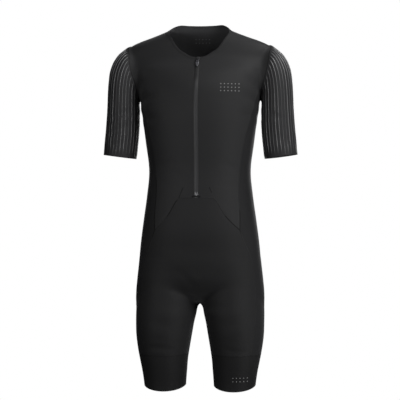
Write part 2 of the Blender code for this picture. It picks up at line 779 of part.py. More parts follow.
def make_sleeves(cut):
    """Sleeves, from the armhole to the cuff: raised ribs outside over a plain inside."""
    ends = cuff()
    share = np.linspace(0, 1, SLEEVE_ROWS + 1)[:, None]
    round_cuff = np.linspace(0, 2 * np.pi, RIBS, endpoint=False)
    hole, hole_down = cut["hole"], -cut["hole"][:, 2]
    round_hole = np.arctan2(ARM_MIDDLE - hole[:, 1], hole[:, 0] - read(ARM, "centre", hole_down))
    round_hole += 2 * np.pi * np.round((round_cuff - round_hole) / (2 * np.pi))
    turn = round_cuff + (round_hole - round_cuff) * (1 - share) ** CAP_TURN
    down = hole_down + (-ends[:, 2] - hole_down) * share ** (RIB_DROP + RIB_DROP_ROUND * np.cos(round_cuff))
    grid = on_arm(turn, down) + (hole - on_arm(round_hole, hole_down)) * (1 - share[..., None]) ** CAP_SHAPE
    for _ in range(8):
        trunk_side = read(ARMHOLE, "across", -grid[1:-1, :, 2]) + SEAM_CLEAR
        grid[1:-1, :, 0] = np.maximum(grid[1:-1, :, 0], trunk_side)
        grid = settled(grid, rounds=1)
    grid[0], grid[-1] = hole, ends

    rows = SLEEVE_ROWS + 1
    flat = grid.reshape(-1, 3)
    faces = facing_out(flat, grid_faces(rows, RIBS, closed=True))
    outer = drawn_in(flat, faces, SEAM / 2)
    normal = normals(outer)
    inner = outer - CLOTH * normal
    outer, normal = outer.reshape(rows, RIBS, 3), normal.reshape(rows, RIBS, 3)
    height = RIB_HEIGHT * np.sin(np.pi * np.linspace(0, 1, rows)) ** RIB_FADE
    height[[0, -1]] = 0
    crest = outer + height[:, None, None] * normal
    before = outer + RIB_HALF * (np.roll(outer, 1, 1) - outer)
    behind = outer + RIB_HALF * (np.roll(outer, -1, 1) - outer)
    ribbed = np.stack([before, crest, behind], axis=2).reshape(-1, 3)

    turned = bool((faces[0] == grid_faces(rows, RIBS, closed=True)[0]).all())
    outside = [tuple(f) for f in grid_faces(rows, 3 * RIBS, closed=True).tolist()]
    inside = [tuple(3 * RIBS * rows + i for i in reversed(f)) for f in grid_faces(rows, RIBS, closed=True)]
    rims = []
    for row in (0, rows - 1):
        for rib in range(RIBS):
            start, after = row * 3 * RIBS, (rib + 1) % RIBS
            edge = [3 * rib + 1, 3 * rib + 2, 3 * after, 3 * after + 1]
            lower = [3 * RIBS * rows + row * RIBS + k for k in (after, rib)]
            ring = [start + e for e in edge] + lower
            rims.append(tuple(reversed(ring)) if row == 0 else tuple(ring))
    every = outside + inside + rims
    if not turned:
        every = [tuple(reversed(f)) for f in every]
    both_sides("sleeve", np.concatenate([ribbed, inner]), every, SLEEVE_FABRIC)


def make_binding(cut):
    """The narrow binding round the neckline, open at the zip."""
    grid = np.stack([cut["bound"], cut["neck"]])
    middle = settled(grid.mean(axis=0))
    middle[-1, 0] = 0
    grid = np.stack([grid[0], middle, grid[1]])
    points, faces = wall(grid.reshape(-1, 3), grid_faces(*grid.shape[:2]))
    halves = cloth_object("neck_binding", points, faces, FABRIC)
    mirror = halves.modifiers.new("Mirror", "MIRROR")
    mirror.use_axis = (True, False, False)
    mirror.merge_threshold = 0.00002


def make_zip_tapes(cut):
    """The two halves of the zip, from the neckline to its foot, filling the slot between the fronts.

    They stand a hair off the middle plane, so that the edges that meet there get their gap too.
    """
    top = cut["neck"][0]
    edge = np.concatenate([[top], cut["zip"]])
    centre = settled(edge * (0, 1, 1))
    grid = np.stack([centre, edge], axis=1)
    points, faces = wall(grid.reshape(-1, 3) + (10 * ON_PLANE, 0, 0), grid_faces(*grid.shape[:2]))
    both_sides("zip_tape", points, faces, ZIP_COATING)


def lying_on(line, down, reach_up, reach_down):
    """A flat frame over the zip: the point at a depth, the way down it and the way out, clear of the tapes."""
    zs = -line[:, 2]

    def at(depth):
        return np.array([0.0, np.interp(depth, zs, line[:, 1]), -depth])

    way = at(down + reach_down) - at(down - reach_up)
    way /= np.linalg.norm(way)
    out = np.cross(way, (1.0, 0.0, 0.0))
    out = out if out[1] < 0 else -out
    under = [at(d) for d in np.linspace(down - reach_up, down + reach_down, 60)]
    lift = max((point - at(down)) @ out for point in under)
    return at(down) + (lift + LIFT) * out, way, out


def slab_points(shape, low, high):
    """Rows of a table as a slab's points: four across, low ones first, (across, along, out)."""
    across = np.stack([-shape["half_width"], -shape["slot"], shape["slot"], shape["half_width"]], axis=1)
    along = np.repeat(shape["along"][:, None], 4, axis=1)
    layers = [np.stack([across, along, np.full(across.shape, out)], axis=-1) for out in (low, high)]
    return np.stack(layers).reshape(-1, 3)


def slab_faces(rows, left_out=()):
    """A slab's faces; left_out names the rows that are open between the two middle columns."""
    faces = grid_faces(rows, 4)
    kept = np.array([f for k, f in enumerate(faces.tolist()) if not (k % 3 == 1 and k // 3 in left_out)])
    count = rows * 4
    every = [tuple(f) for f in kept.tolist()] + [tuple(i + count for i in f) for f in kept.tolist()]
    return every + [(a, b, b + count, a + count) for a, b in rim_of(kept)]


def hard_object(name, points, faces, frame, finish, origin=(0.0, 0.0, 0.0)):
    """A hard piece from local points; its origin is a point of its frame."""
    start, way, out = frame
    sides = np.stack([(1.0, 0.0, 0.0), way, out])
    mesh = bpy.data.meshes.new(name)
    mesh.from_pydata(((points - np.array(origin)) @ sides).tolist(), [], [list(f) for f in faces])
    shell = bmesh.new()
    shell.from_mesh(mesh)
    bmesh.ops.recalc_face_normals(shell, faces=shell.faces)
    shell.to_mesh(mesh)
    shell.free()
    made = object_for(name, mesh, finish)
    made.location = start + np.array(origin) @ sides
    return made


def make_zip_hardware(cut):
    """The slider with its bridge, the pull that swings on it, and the bottom stop."""
    line = np.concatenate([cut["neck"][:1], cut["zip"]])
    frame = lying_on(line, STOP_DOWN, 0.0048, 0.0048)
    rows = len(STOP["along"])
    hard_object(
        "zip_stop", slab_points(STOP, 0, STOP_THICK), slab_faces(rows, [0]), frame, BRIGHT_METAL
    )

    frame = lying_on(line, SLIDER_DOWN, 0.0064, PULL_RANGE)
    rows = len(SLIDER["along"])
    points, faces = slab_points(SLIDER, 0, SLIDER_THICK), slab_faces(rows)
    feet = [tuple(4 * (rows + r) + c for r, c in ((k, 1), (k, 2), (k + 1, 2), (k + 1, 1))) for k in BRIDGE_FEET]
    faces = [f for f in faces if set(f) not in [set(foot) for foot in feet]]
    hinge = SLIDER_THICK + PULL_CLEAR + PULL_HALF
    low, high = hinge + PULL_HALF + PULL_CLEAR, hinge + PULL_HALF + PULL_CLEAR + BRIDGE_THICK
    (a0, a1, a2, a3), (b0, b1, b2, b3) = feet  # upper foot then lower; 0 and 1 are its upper edge
    start = len(points)
    upper = [tuple(points[i][:2]) + (high,) for i in (a0, a1)]
    under_upper = [tuple(points[i][:2]) + (low,) for i in (a2, a3)]
    under_lower = [tuple(points[i][:2]) + (low,) for i in (b0, b1)]
    lower = [tuple(points[i][:2]) + (high,) for i in (b2, b3)]
    points = np.concatenate([points, upper, under_upper, under_lower, lower])
    u0, u1, v2, v3, w0, w1, l2, l3 = range(start, start + 8)
    faces += [
        (a0, a1, u1, u0),
        (a2, a3, v3, v2),
        (b0, b1, w1, w0),
        (b2, b3, l3, l2),
        (u0, u1, l2, l3),
        (v2, v3, w0, w1),
        (a0, a3, v3, u0),
        (a1, a2, v2, u1),
        (b0, b3, l3, w0),
        (b1, b2, l2, w1),
        (u0, v3, w0, l3),
        (u1, v2, w1, l2),
    ]
    hard_object("zip_slider", points, faces, frame, DARK_METAL)

    points = slab_points(PULL, hinge - PULL_HALF, hinge + PULL_HALF)
    faces = slab_faces(len(PULL["along"]), [PULL_EYE])
    hard_object("zip_pull", points, faces, frame, DARK_METAL, (0.0, 0.0, hinge))


SUIT = None


def main():
    """Build the skinsuit."""
    global SUIT
    for old in list(bpy.data.objects):
        bpy.data.objects.remove(old, do_unlink=True)
    SUIT = collection_for("cycling_skinsuit")
    cut = leg_seams(trunk_seams())
    make_fronts(cut)
    make_back(cut)
    make_sides(cut)
    make_shorts(cut)
    make_leg_bands(cut)
    make_sleeves(cut)
    make_binding(cut)
    make_zip_tapes(cut)
    make_zip_hardware(cut)


main()
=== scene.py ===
"""Cycling skinsuit: its knit, ribs, seams, zip and finishes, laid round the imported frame.

Metres, +Z up. The front faces -Y, the wearer's left is +X and the origin is the middle of the neck opening.
"down" is the distance below the origin. Every sheet of cloth lies on one smooth form, given as level
sections, and every seam is a curve on it, as in the part's source.
"""

import functools
import json
import math

import bmesh
import bpy
import numpy as np
from bpy.props import FloatProperty, FloatVectorProperty, PointerProperty
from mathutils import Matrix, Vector


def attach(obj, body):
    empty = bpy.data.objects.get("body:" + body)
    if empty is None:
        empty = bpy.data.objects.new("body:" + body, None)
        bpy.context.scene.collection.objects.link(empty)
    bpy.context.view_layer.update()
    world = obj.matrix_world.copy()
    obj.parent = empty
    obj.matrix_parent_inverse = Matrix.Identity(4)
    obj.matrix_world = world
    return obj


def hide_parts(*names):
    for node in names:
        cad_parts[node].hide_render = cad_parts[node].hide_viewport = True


bl_info = {
    "name": "Cycling skinsuit",
    "version": (1, 0, 0),
    "blender": (4, 5, 0),
    "location": "3D View > Sidebar > Skinsuit",
    "description": "Builds a worn cycling skinsuit round its packed frame",
    "category": "Add Mesh",
}

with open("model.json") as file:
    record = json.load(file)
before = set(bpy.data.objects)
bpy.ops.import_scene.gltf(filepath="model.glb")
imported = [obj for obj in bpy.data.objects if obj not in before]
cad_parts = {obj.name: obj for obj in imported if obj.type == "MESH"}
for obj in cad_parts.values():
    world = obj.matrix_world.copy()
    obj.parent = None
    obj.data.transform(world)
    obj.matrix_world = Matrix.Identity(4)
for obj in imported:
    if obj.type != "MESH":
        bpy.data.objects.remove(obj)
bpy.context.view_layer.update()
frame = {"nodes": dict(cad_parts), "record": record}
SLOT_COLOURS = {m["slot"]: tuple(m["base_color"]) for m in frame["record"]["materials"]}

# ---------------------------------------------------------------- the form


def table(columns, *rows):
    """A short table: its columns by name."""
    return dict(zip(columns.split(), np.array(rows, dtype=float).T))


TRUNK = table(
    "down half_width front back",
    (-0.0300, 0.0610, 0.036, 0.060),
    (-0.0205, 0.0655, 0.038, 0.064),
    (-0.0080, 0.0745, 0.039, 0.067),
    (0.0000, 0.0820, 0.041, 0.070),
    (0.0078, 0.0996, 0.043, 0.074),
    (0.0182, 0.1269, 0.045, 0.080),
    (0.0286, 0.1560, 0.047, 0.086),
    (0.0390, 0.1780, 0.050, 0.092),
    (0.0500, 0.1880, 0.053, 0.098),
    (0.0743, 0.1860, 0.061, 0.108),
    (0.1100, 0.1720, 0.088, 0.117),
    (0.1500, 0.1600, 0.108, 0.120),
    (0.1870, 0.1545, 0.114, 0.118),
    (0.2262, 0.1490, 0.115, 0.111),
    (0.2886, 0.1409, 0.109, 0.097),
    (0.3666, 0.1320, 0.100, 0.084),
    (0.4290, 0.1378, 0.101, 0.090),
    (0.4914, 0.1464, 0.103, 0.107),
    (0.5538, 0.1544, 0.099, 0.121),
    (0.6162, 0.1592, 0.093, 0.124),
    (0.6500, 0.1600, 0.084, 0.117),
    (0.6800, 0.1580, 0.062, 0.088),
    (0.7000, 0.1500, 0.034, 0.050),
    (0.7100, 0.1400, 0.010, 0.016),
)
ARM = table(
    "down centre half_width half_depth",
    (0.0403, 0.1830, 0.0040, 0.006),
    (0.0494, 0.1870, 0.0120, 0.022),
    (0.0598, 0.1900, 0.0215, 0.036),
    (0.0754, 0.1930, 0.0305, 0.047),
    (0.1014, 0.1965, 0.0380, 0.055),
    (0.1326, 0.1993, 0.0398, 0.058),
    (0.1638, 0.2006, 0.0406, 0.057),
    (0.1950, 0.2011, 0.0412, 0.056),
    (0.2574, 0.2034, 0.0431, 0.052),
    (0.3198, 0.2097, 0.0433, 0.049),
    (0.3400, 0.2118, 0.0432, 0.048),
)
LEG = table(
    "down centre half_width half_depth middle",
    (0.5800, 0.0780, 0.0640, 0.078, 0.012),
    (0.6400, 0.0830, 0.0740, 0.090, 0.012),
    (0.6900, 0.0865, 0.0785, 0.094, 0.010),
    (0.7254, 0.0880, 0.0791, 0.094, 0.006),
    (0.7566, 0.0914, 0.0757, 0.090, 0.002),
    (0.7878, 0.0936, 0.0725, 0.085, 0.000),
    (0.8190, 0.0944, 0.0679, 0.079, -0.001),
    (0.8502, 0.0939, 0.0627, 0.073, -0.002),
    (0.8814, 0.0920, 0.0583, 0.067, -0.002),
    (0.9126, 0.0908, 0.0548, 0.062, -0.002),
    (0.9400, 0.0900, 0.0530, 0.060, -0.002),
)
TRUNK_SQUARENESS = 2.25
ARM_MIDDLE = 0.004
CROTCH_DOWN = 0.706
LEG_BLEND = 0.020
ARM_BLEND = table("down width", (0.040, 0.008), (0.080, 0.022), (0.130, 0.024), (0.187, 0.009), (0.250, 0.006))
ARM_END = 0.345
LEG_START = 0.590
PAST_END = 2  # how much faster than the distance the form rises past an arm's or a leg's end


def read(source, column, where, by="down"):
    """A column at any value of the column named by: a smooth cubic through its rows, level past both ends."""
    at, value = source[by], source[column]
    slope = np.gradient(value, at)
    where = np.clip(where, at[0], at[-1])
    row = np.clip(np.searchsorted(at, where) - 1, 0, len(at) - 2)
    span = at[row + 1] - at[row]
    t = (where - at[row]) / span
    rise = value[row + 1] - value[row]
    bend = slope[row] * (1 - t) - slope[row + 1] * t
    return value[row] + rise * t * t * (3 - 2 * t) + span * t * (1 - t) * bend


def blended(a, b, width):
    """The smaller of two distances, rounded over a width where they are alike."""
    near = np.maximum(width - np.abs(a - b), 0.0) / width
    return np.minimum(a, b) - near * near * width / 4


def oval(across, along, half_width, half_depth, power=2.0):
    """Signed distance from a level oval, nearly: negative inside."""
    reach = (np.abs(across / half_width) ** power + np.abs(along / half_depth) ** power) ** (1 / power)
    return (reach - 1) * np.sqrt(half_width * half_depth)


def form(points):
    """Signed distance from the trunk, arms and legs, blended where they meet: negative inside."""
    x, y, down = np.abs(points[..., 0]), points[..., 1], -points[..., 2]
    depth = np.where(y < 0, read(TRUNK, "front", down), read(TRUNK, "back", down))
    trunk = oval(x, y, read(TRUNK, "half_width", down), depth, TRUNK_SQUARENESS)
    trunk = -blended(-trunk, CROTCH_DOWN - down, LEG_BLEND)
    arm_x, leg_x = x - read(ARM, "centre", down), x - read(LEG, "centre", down)
    arm = oval(arm_x, y - ARM_MIDDLE, read(ARM, "half_width", down), read(ARM, "half_depth", down))
    arm = arm + PAST_END * (np.maximum(down - ARM_END, 0) + np.maximum(ARM["down"][0] - down, 0))
    leg = oval(leg_x, y - read(LEG, "middle", down), read(LEG, "half_width", down), read(LEG, "half_depth", down))
    leg = leg + PAST_END * np.maximum(LEG_START - down, 0)
    return blended(blended(trunk, arm, read(ARM_BLEND, "width", down)), leg, LEG_BLEND)


def slope_of(points, step=0.0004):
    """The form's gradient, by central differences."""
    sides = np.eye(3) * step
    return np.stack([(form(points + s) - form(points - s)) / (2 * step) for s in sides], axis=-1)


def normals(points):
    """The form's outward unit normals."""
    slope = slope_of(points)
    return slope / np.linalg.norm(slope, axis=-1, keepdims=True)


def settled(points, rounds=14, longest=0.015):
    """The points moved along the form's slope until they lie on it."""
    points = np.array(points, dtype=float)
    for _ in range(rounds):
        slope = slope_of(points)
        move = -form(points)[..., None] * slope / (slope * slope).sum(-1, keepdims=True)
        length = np.linalg.norm(move, axis=-1, keepdims=True)
        points += move * np.minimum(1, longest / np.maximum(length, 1e-9))
    return points


def reached(start, direction, longest=0.30, steps=150):
    """Where rays from inside the form first leave it."""
    start, direction = np.atleast_2d(start).astype(float), np.atleast_2d(direction).astype(float)
    ways = np.linspace(0, longest, steps)
    outside = form(start[:, None] + ways[None, :, None] * direction[:, None]) > 0
    first = np.argmax(outside, axis=1)
    low, high = ways[np.maximum(first - 1, 0)], ways[first]
    for _ in range(30):
        middle = (low + high) / 2
        out = form(start + middle[:, None] * direction) > 0
        low, high = np.where(out, low, middle), np.where(out, middle, high)
    return start + low[:, None] * direction


# ---------------------------------------------------------------- seams, as curves on the form


def smooth_line(marks, count=400):
    """A smooth curve through marks, by chord length."""
    marks = np.asarray(marks, dtype=float)
    way = np.concatenate([[0], np.cumsum(np.linalg.norm(np.diff(marks, axis=0), axis=1))])
    at = np.linspace(0, way[-1], count)
    columns = [read({"way": way, "value": marks[:, k]}, "value", at, by="way") for k in range(marks.shape[1])]
    return np.stack(columns, axis=1)


def at_shares(line, shares):
    """The points at shares of a line's length."""
    way = np.concatenate([[0], np.cumsum(np.linalg.norm(np.diff(line, axis=0), axis=1))])
    return np.stack([np.interp(np.asarray(shares) * way[-1], way, line[:, k]) for k in range(3)], axis=1)


def evenly(line, count):
    """count + 1 points evenly spaced along a line, ends kept."""
    return at_shares(line, np.linspace(0, 1, count + 1))


def seam(marks, count):
    """A seam of count pieces through marks, laid on the form."""
    points = evenly(settled(smooth_line(marks)), count)
    ends = points[[0, -1]].copy()
    points = settled(points)
    points[[0, -1]] = ends
    return points


def seen(side, rows):
    """Marks on the front (side -1) or the back (side 1), from rows of distance across and down."""
    rows = np.asarray(rows, dtype=float)
    start = np.stack([rows[:, 0], 0 * rows[:, 0], -rows[:, 1]], axis=1)
    return reached(start, np.tile([0.0, side, 0.0], (len(rows), 1)))


FRONT, BACK = -1.0, 1.0
ON_PLANE = 1e-6
ZIP_HALF = 0.0058
BINDING = 0.007
NECKLINE = table(
    "angle down",
    (0, 0.0743),
    (18, 0.0710),
    (30, 0.0629),
    (44, 0.0504),
    (52, 0.0366),
    (61, 0.0193),
    (73, 0.0040),
    (90, -0.0045),
    (105, -0.0125),
    (125, -0.0195),
    (150, -0.0205),
    (180, -0.0205),
)
SHOULDER_ANGLE = 83
ARMHOLE = table(
    "down across",
    (0.035, 0.1860),
    (0.050, 0.1845),
    (0.062, 0.1815),
    (0.088, 0.1785),
    (0.114, 0.1730),
    (0.137, 0.1660),
    (0.152, 0.1620),
    (0.170, 0.1588),
    (0.187, 0.1565),
    (0.200, 0.1560),
    (0.260, 0.1530),
)
ARMHOLE_MIDDLE = (0.003, 0.115)
ARMHOLE_REACH = 0.12
SHOULDER_FORWARD = 0.007
SEAM_CLEAR = 0.001
PEAK = ((ZIP_HALF, 0.4344), (0.0250, 0.4344), (0.0443, 0.4346))
PEAK_SIDE = (
    (0.0443, 0.4346),
    (0.0526, 0.4440),
    (0.0632, 0.4622),
    (0.0733, 0.4786),
    (0.0900, 0.4978),
    (0.1090, 0.5159),
)
SIDE_FRONT_TRUNK = (
    (0.1300, 0.248),
    (0.1150, 0.310),
    (0.1080, 0.363),
    (0.1055, 0.420),
    (0.1090, 0.475),
    (0.1090, 0.5159),
)
SIDE_FRONT_LEG = (
    (0.1090, 0.5159),
    (0.1200, 0.5480),
    (0.1350, 0.5850),
    (0.1440, 0.6300),
    (0.1480, 0.7000),
    (0.1460, 0.7600),
    (0.1400, 0.8100),
    (0.1350, 0.8370),
)
SIDE_BACK_TRUNK = ((0.1300, 0.260), (0.1120, 0.320), (0.1050, 0.370), (0.1080, 0.430), (0.1160, 0.500))
SIDE_BACK_LEG = (
    (0.1160, 0.500),
    (0.1250, 0.570),
    (0.1350, 0.640),
    (0.1400, 0.700),
    (0.1370, 0.760),
    (0.1320, 0.810),
    (0.1280, 0.837),
)
SEAT = ((0.0, 0.485), (0.050, 0.488), (0.090, 0.496), (0.116, 0.500))
SEAT_PIVOT = (0.0, 0.006, -0.640)
BAND_TOP = 0.837
HEM_DOWN = 0.918
HEM_FRONT_DIP, HEM_ROUND_DIP = 0.0065, 0.0055
CUFF_DOWN = 0.327
CUFF_MIDDLE = 0.2110
CUFF_TILT = 0.128
INSEAM_ANGLE = 268.0  # degrees round the leg, from the front over the outside
INSEAM_START = 0.012  # the inseam's first mark on the leg, below the crotch
INSEAM_MARKS = 10
RIBS = 30
RIB_CROWDING = 0.4
RIB_CROWDING_POWER = 2.5
FRONT_HOLE, UNDER_HOLE = 12, 5
TRUNK_ROWS = 14
PELVIS_ROWS, THIGH_ROWS = 9, 5
NECK_COLUMNS, SHOULDER_COLUMNS = 6, 5
PEAK_COLUMNS = 3
PEAK_SIDE_COLUMNS = NECK_COLUMNS + SHOULDER_COLUMNS - PEAK_COLUMNS
BACK_NECK_COLUMNS = 5
SLEEVE_ROWS = 12
BAND_ROWS = 3
CAP_TURN, CAP_SHAPE = 4, 6
RIB_DROP, RIB_DROP_ROUND = 1.55, 0.45
FINE = 6  # cells of cloth along each cell of the solids
RIB_FINE = 12  # columns of cloth from one rib to the next
RIB_HIGHLIGHT_HEIGHTS = (-0.165, -0.075)  # heights between which the ribs get a painted highlight over the shoulder
RIB_PALES = 0.030  # how far above the cuff the ribs begin to fade
RING_POINTS = 721  # points round a ring before it is spaced out
NECK_POINTS = 300  # points along each part of the neckline before it is spaced out
CENTRE_MARKS = 60  # marks down a centre line before it is spaced out
HALVINGS = 40  # times that a way is halved to find where it leaves the form


def neckline(angles):
    """The neckline at angles round the neck, from the front."""
    down = read(NECKLINE, "down", angles, by="angle")
    turn = np.radians(angles)
    start = np.stack([0 * down, 0 * down, -down], axis=1)
    return reached(start, np.stack([np.sin(turn), -np.cos(turn), 0 * turn], axis=1))


def armhole(count):
    """The armhole, count points round it, from the shoulder seam forwards, closest together at the top."""
    turn = np.radians(np.linspace(0, 360, RING_POINTS))
    low, high = np.zeros(len(turn)), np.full(len(turn), ARMHOLE_REACH)
    middle_y, middle_down = ARMHOLE_MIDDLE

    def at(way):
        down = middle_down - way * np.cos(turn)
        return np.stack([read(ARMHOLE, "across", down), middle_y - way * np.sin(turn), -down], axis=1)

    for _ in range(HALVINGS):
        middle = (low + high) / 2
        out = form(at(middle)) > 0
        low, high = np.where(out, low, middle), np.where(out, middle, high)
    loop = at(low)
    at_shoulder = loop[: len(loop) // 12]
    start = np.argmin(np.abs(at_shoulder[:, 1] + SHOULDER_FORWARD))
    loop = np.concatenate([loop[start:-1], loop[: start + 1]])
    share = np.linspace(-1, 1, count + 1)
    away = np.abs(share)
    crowded = np.sign(share) * (RIB_CROWDING * away + (1 - RIB_CROWDING) * away**RIB_CROWDING_POWER)
    return at_shares(loop, np.roll(crowded[:-1] % 2 / 2, -count // 2))


def beside(line, distance):
    """A line on the form, moved sideways over it, to the right of its own direction seen from outside."""
    across = np.cross(np.gradient(line, axis=0), normals(line))
    across /= np.linalg.norm(across, axis=1, keepdims=True)
    return settled(line + distance * across)


def under_seat(side, angles):
    """The centre line under the body, at angles below level towards one side."""
    turn = np.radians(angles)
    way = np.stack([0 * turn, side * np.cos(turn), -np.sin(turn)], axis=1)
    return reached(np.tile(SEAT_PIVOT, (len(turn), 1)), way)


def round_leg(level, angles):
    """Points round the wearer's left leg: level gives how far down each lies, from its angle."""
    turn = np.radians(angles)
    down = level(turn)
    start = np.stack([read(LEG, "centre", down), read(LEG, "middle", down), -down], axis=1)
    return reached(start, np.stack([np.sin(turn), -np.cos(turn), 0 * turn], axis=1))


def hem_level(turn):
    """The hem dips in front and a little behind."""
    return HEM_DOWN + HEM_FRONT_DIP * np.cos(turn) + HEM_ROUND_DIP * np.cos(turn) ** 2


def angle_on_leg(point):
    """A point's angle round the leg's axis, from the front towards the outside, in degrees."""
    down = -point[2]
    return math.degrees(math.atan2(point[0] - read(LEG, "centre", down), read(LEG, "middle", down) - point[1]))


def trunk_seams():
    """Every seam of the trunk's wearer's left half, FINE points for each point of the solids."""
    ribs = armhole(RIBS * RIB_FINE)
    hole = ribs[:: RIB_FINE // FINE]
    cut = {"ribs": ribs, "hole": hole}
    line = neckline(np.linspace(0, SHOULDER_ANGLE, NECK_POINTS))
    line = line[line[:, 0] >= ZIP_HALF]
    line[0, 0] = ZIP_HALF
    front = settled(evenly(line, NECK_COLUMNS * FINE))
    back = neckline(np.linspace(SHOULDER_ANGLE, 180, NECK_POINTS))
    back = settled(evenly(back, BACK_NECK_COLUMNS * FINE))
    back[0], back[-1, 0] = front[-1], 0
    whole = np.concatenate([front, back[1:]])
    bound = beside(whole, BINDING)
    bound[0, 0], bound[-1, 0] = ZIP_HALF, 0
    bound[[0, -1]] = settled(bound[[0, -1]])
    corner = NECK_COLUMNS * FINE
    cut["neck"], cut["bound"] = whole, bound
    cut["bound_front"], cut["bound_back"] = bound[: corner + 1], bound[corner:]
    cut["shoulder"] = seam([bound[corner], hole[0]], SHOULDER_COLUMNS * FINE)
    under, behind = FRONT_HOLE * FINE, (FRONT_HOLE + UNDER_HOLE) * FINE
    cut["hole_front"], cut["hole_under"] = hole[: under + 1], hole[under : behind + 1]
    cut["hole_back"] = np.concatenate([hole[behind:], hole[:1]])
    cut["peak"] = seam(seen(FRONT, PEAK), PEAK_COLUMNS * FINE)
    cut["peak_side"] = seam(seen(FRONT, PEAK_SIDE), PEAK_SIDE_COLUMNS * FINE)
    cut["peak_side"][0] = cut["peak"][-1]
    rows = TRUNK_ROWS * FINE
    cut["side_front"] = seam(np.concatenate([hole[under : under + 1], seen(FRONT, SIDE_FRONT_TRUNK)]), rows)
    cut["side_front"][-1] = cut["peak_side"][-1]
    cut["side_back"] = seam(np.concatenate([hole[behind : behind + 1], seen(BACK, SIDE_BACK_TRUNK)]), rows)
    cut["seat"] = seam(seen(BACK, SEAT), (BACK_NECK_COLUMNS + SHOULDER_COLUMNS) * FINE)
    cut["seat"][0, 0] = 0
    cut["seat"][-1] = cut["side_back"][-1]
    marks = seen(FRONT, [(ZIP_HALF, down) for down in np.linspace(-bound[0, 2], PEAK[0][1], CENTRE_MARKS)])
    marks[0], marks[-1] = bound[0], cut["peak"][0]
    cut["zip"] = evenly(marks, (FRONT_HOLE + TRUNK_ROWS) * FINE)
    return cut


def leg_seams(cut):
    """The seams below the trunk: centre lines, inseam, outer leg and band."""
    cut["leg_front"] = seam(seen(FRONT, SIDE_FRONT_LEG), (PELVIS_ROWS + THIGH_ROWS) * FINE)
    cut["leg_back"] = seam(seen(BACK, SIDE_BACK_LEG), (PELVIS_ROWS + THIGH_ROWS) * FINE)
    cut["leg_front"][0], cut["leg_back"][0] = cut["peak_side"][-1], cut["side_back"][-1]
    turn_front, turn_back = angle_on_leg(cut["leg_front"][-1]), angle_on_leg(cut["leg_back"][-1])
    crotch = under_seat(FRONT, [90.0])
    halves = {}
    for side, top, steps in ((FRONT, PEAK[0][1], 12), (BACK, SEAT[0][1], 10)):
        fall = seen(side, [(0, down) for down in np.linspace(top, -SEAT_PIVOT[2], steps)])
        line = np.concatenate([fall, under_seat(side, np.linspace(0, 90, 16)[1:])])
        halves[side] = seam(line, PELVIS_ROWS * FINE)
        halves[side][:, 0] = 0
    cut["centre_front"], cut["centre_back"] = halves[FRONT], halves[BACK]
    levels = np.linspace(-crotch[0, 2] + INSEAM_START, BAND_TOP, INSEAM_MARKS)
    inseam = [round_leg(lambda turn, level=level: 0 * turn + level, [INSEAM_ANGLE])[0] for level in levels]
    cut["inseam"] = seam(np.concatenate([crotch, inseam]), THIGH_ROWS * FINE)
    front_columns = (1 + PEAK_COLUMNS + PEAK_SIDE_COLUMNS) * FINE
    back_columns = (BACK_NECK_COLUMNS + SHOULDER_COLUMNS) * FINE
    side_columns = UNDER_HOLE * FINE
    angles = np.concatenate(
        [
            np.linspace(INSEAM_ANGLE - 360, turn_front, front_columns + 1)[:-1],
            np.linspace(turn_front, turn_back, side_columns + 1)[:-1],
            np.linspace(turn_back, INSEAM_ANGLE, back_columns + 1)[:-1],
        ]
    )
    ring = round_leg(lambda turn: BAND_TOP + 0 * turn, angles)
    ring[0] = cut["inseam"][-1]
    ring[front_columns], ring[front_columns + side_columns] = cut["leg_front"][-1], cut["leg_back"][-1]
    cut["band_top"], cut["band_angles"] = ring, angles
    cut["band_front"] = ring[: front_columns + 1]
    cut["band_side"] = ring[front_columns : front_columns + side_columns + 1]
    cut["band_back"] = np.concatenate([ring[front_columns + side_columns :], ring[:1]])
    return cut


# ---------------------------------------------------------------- creases

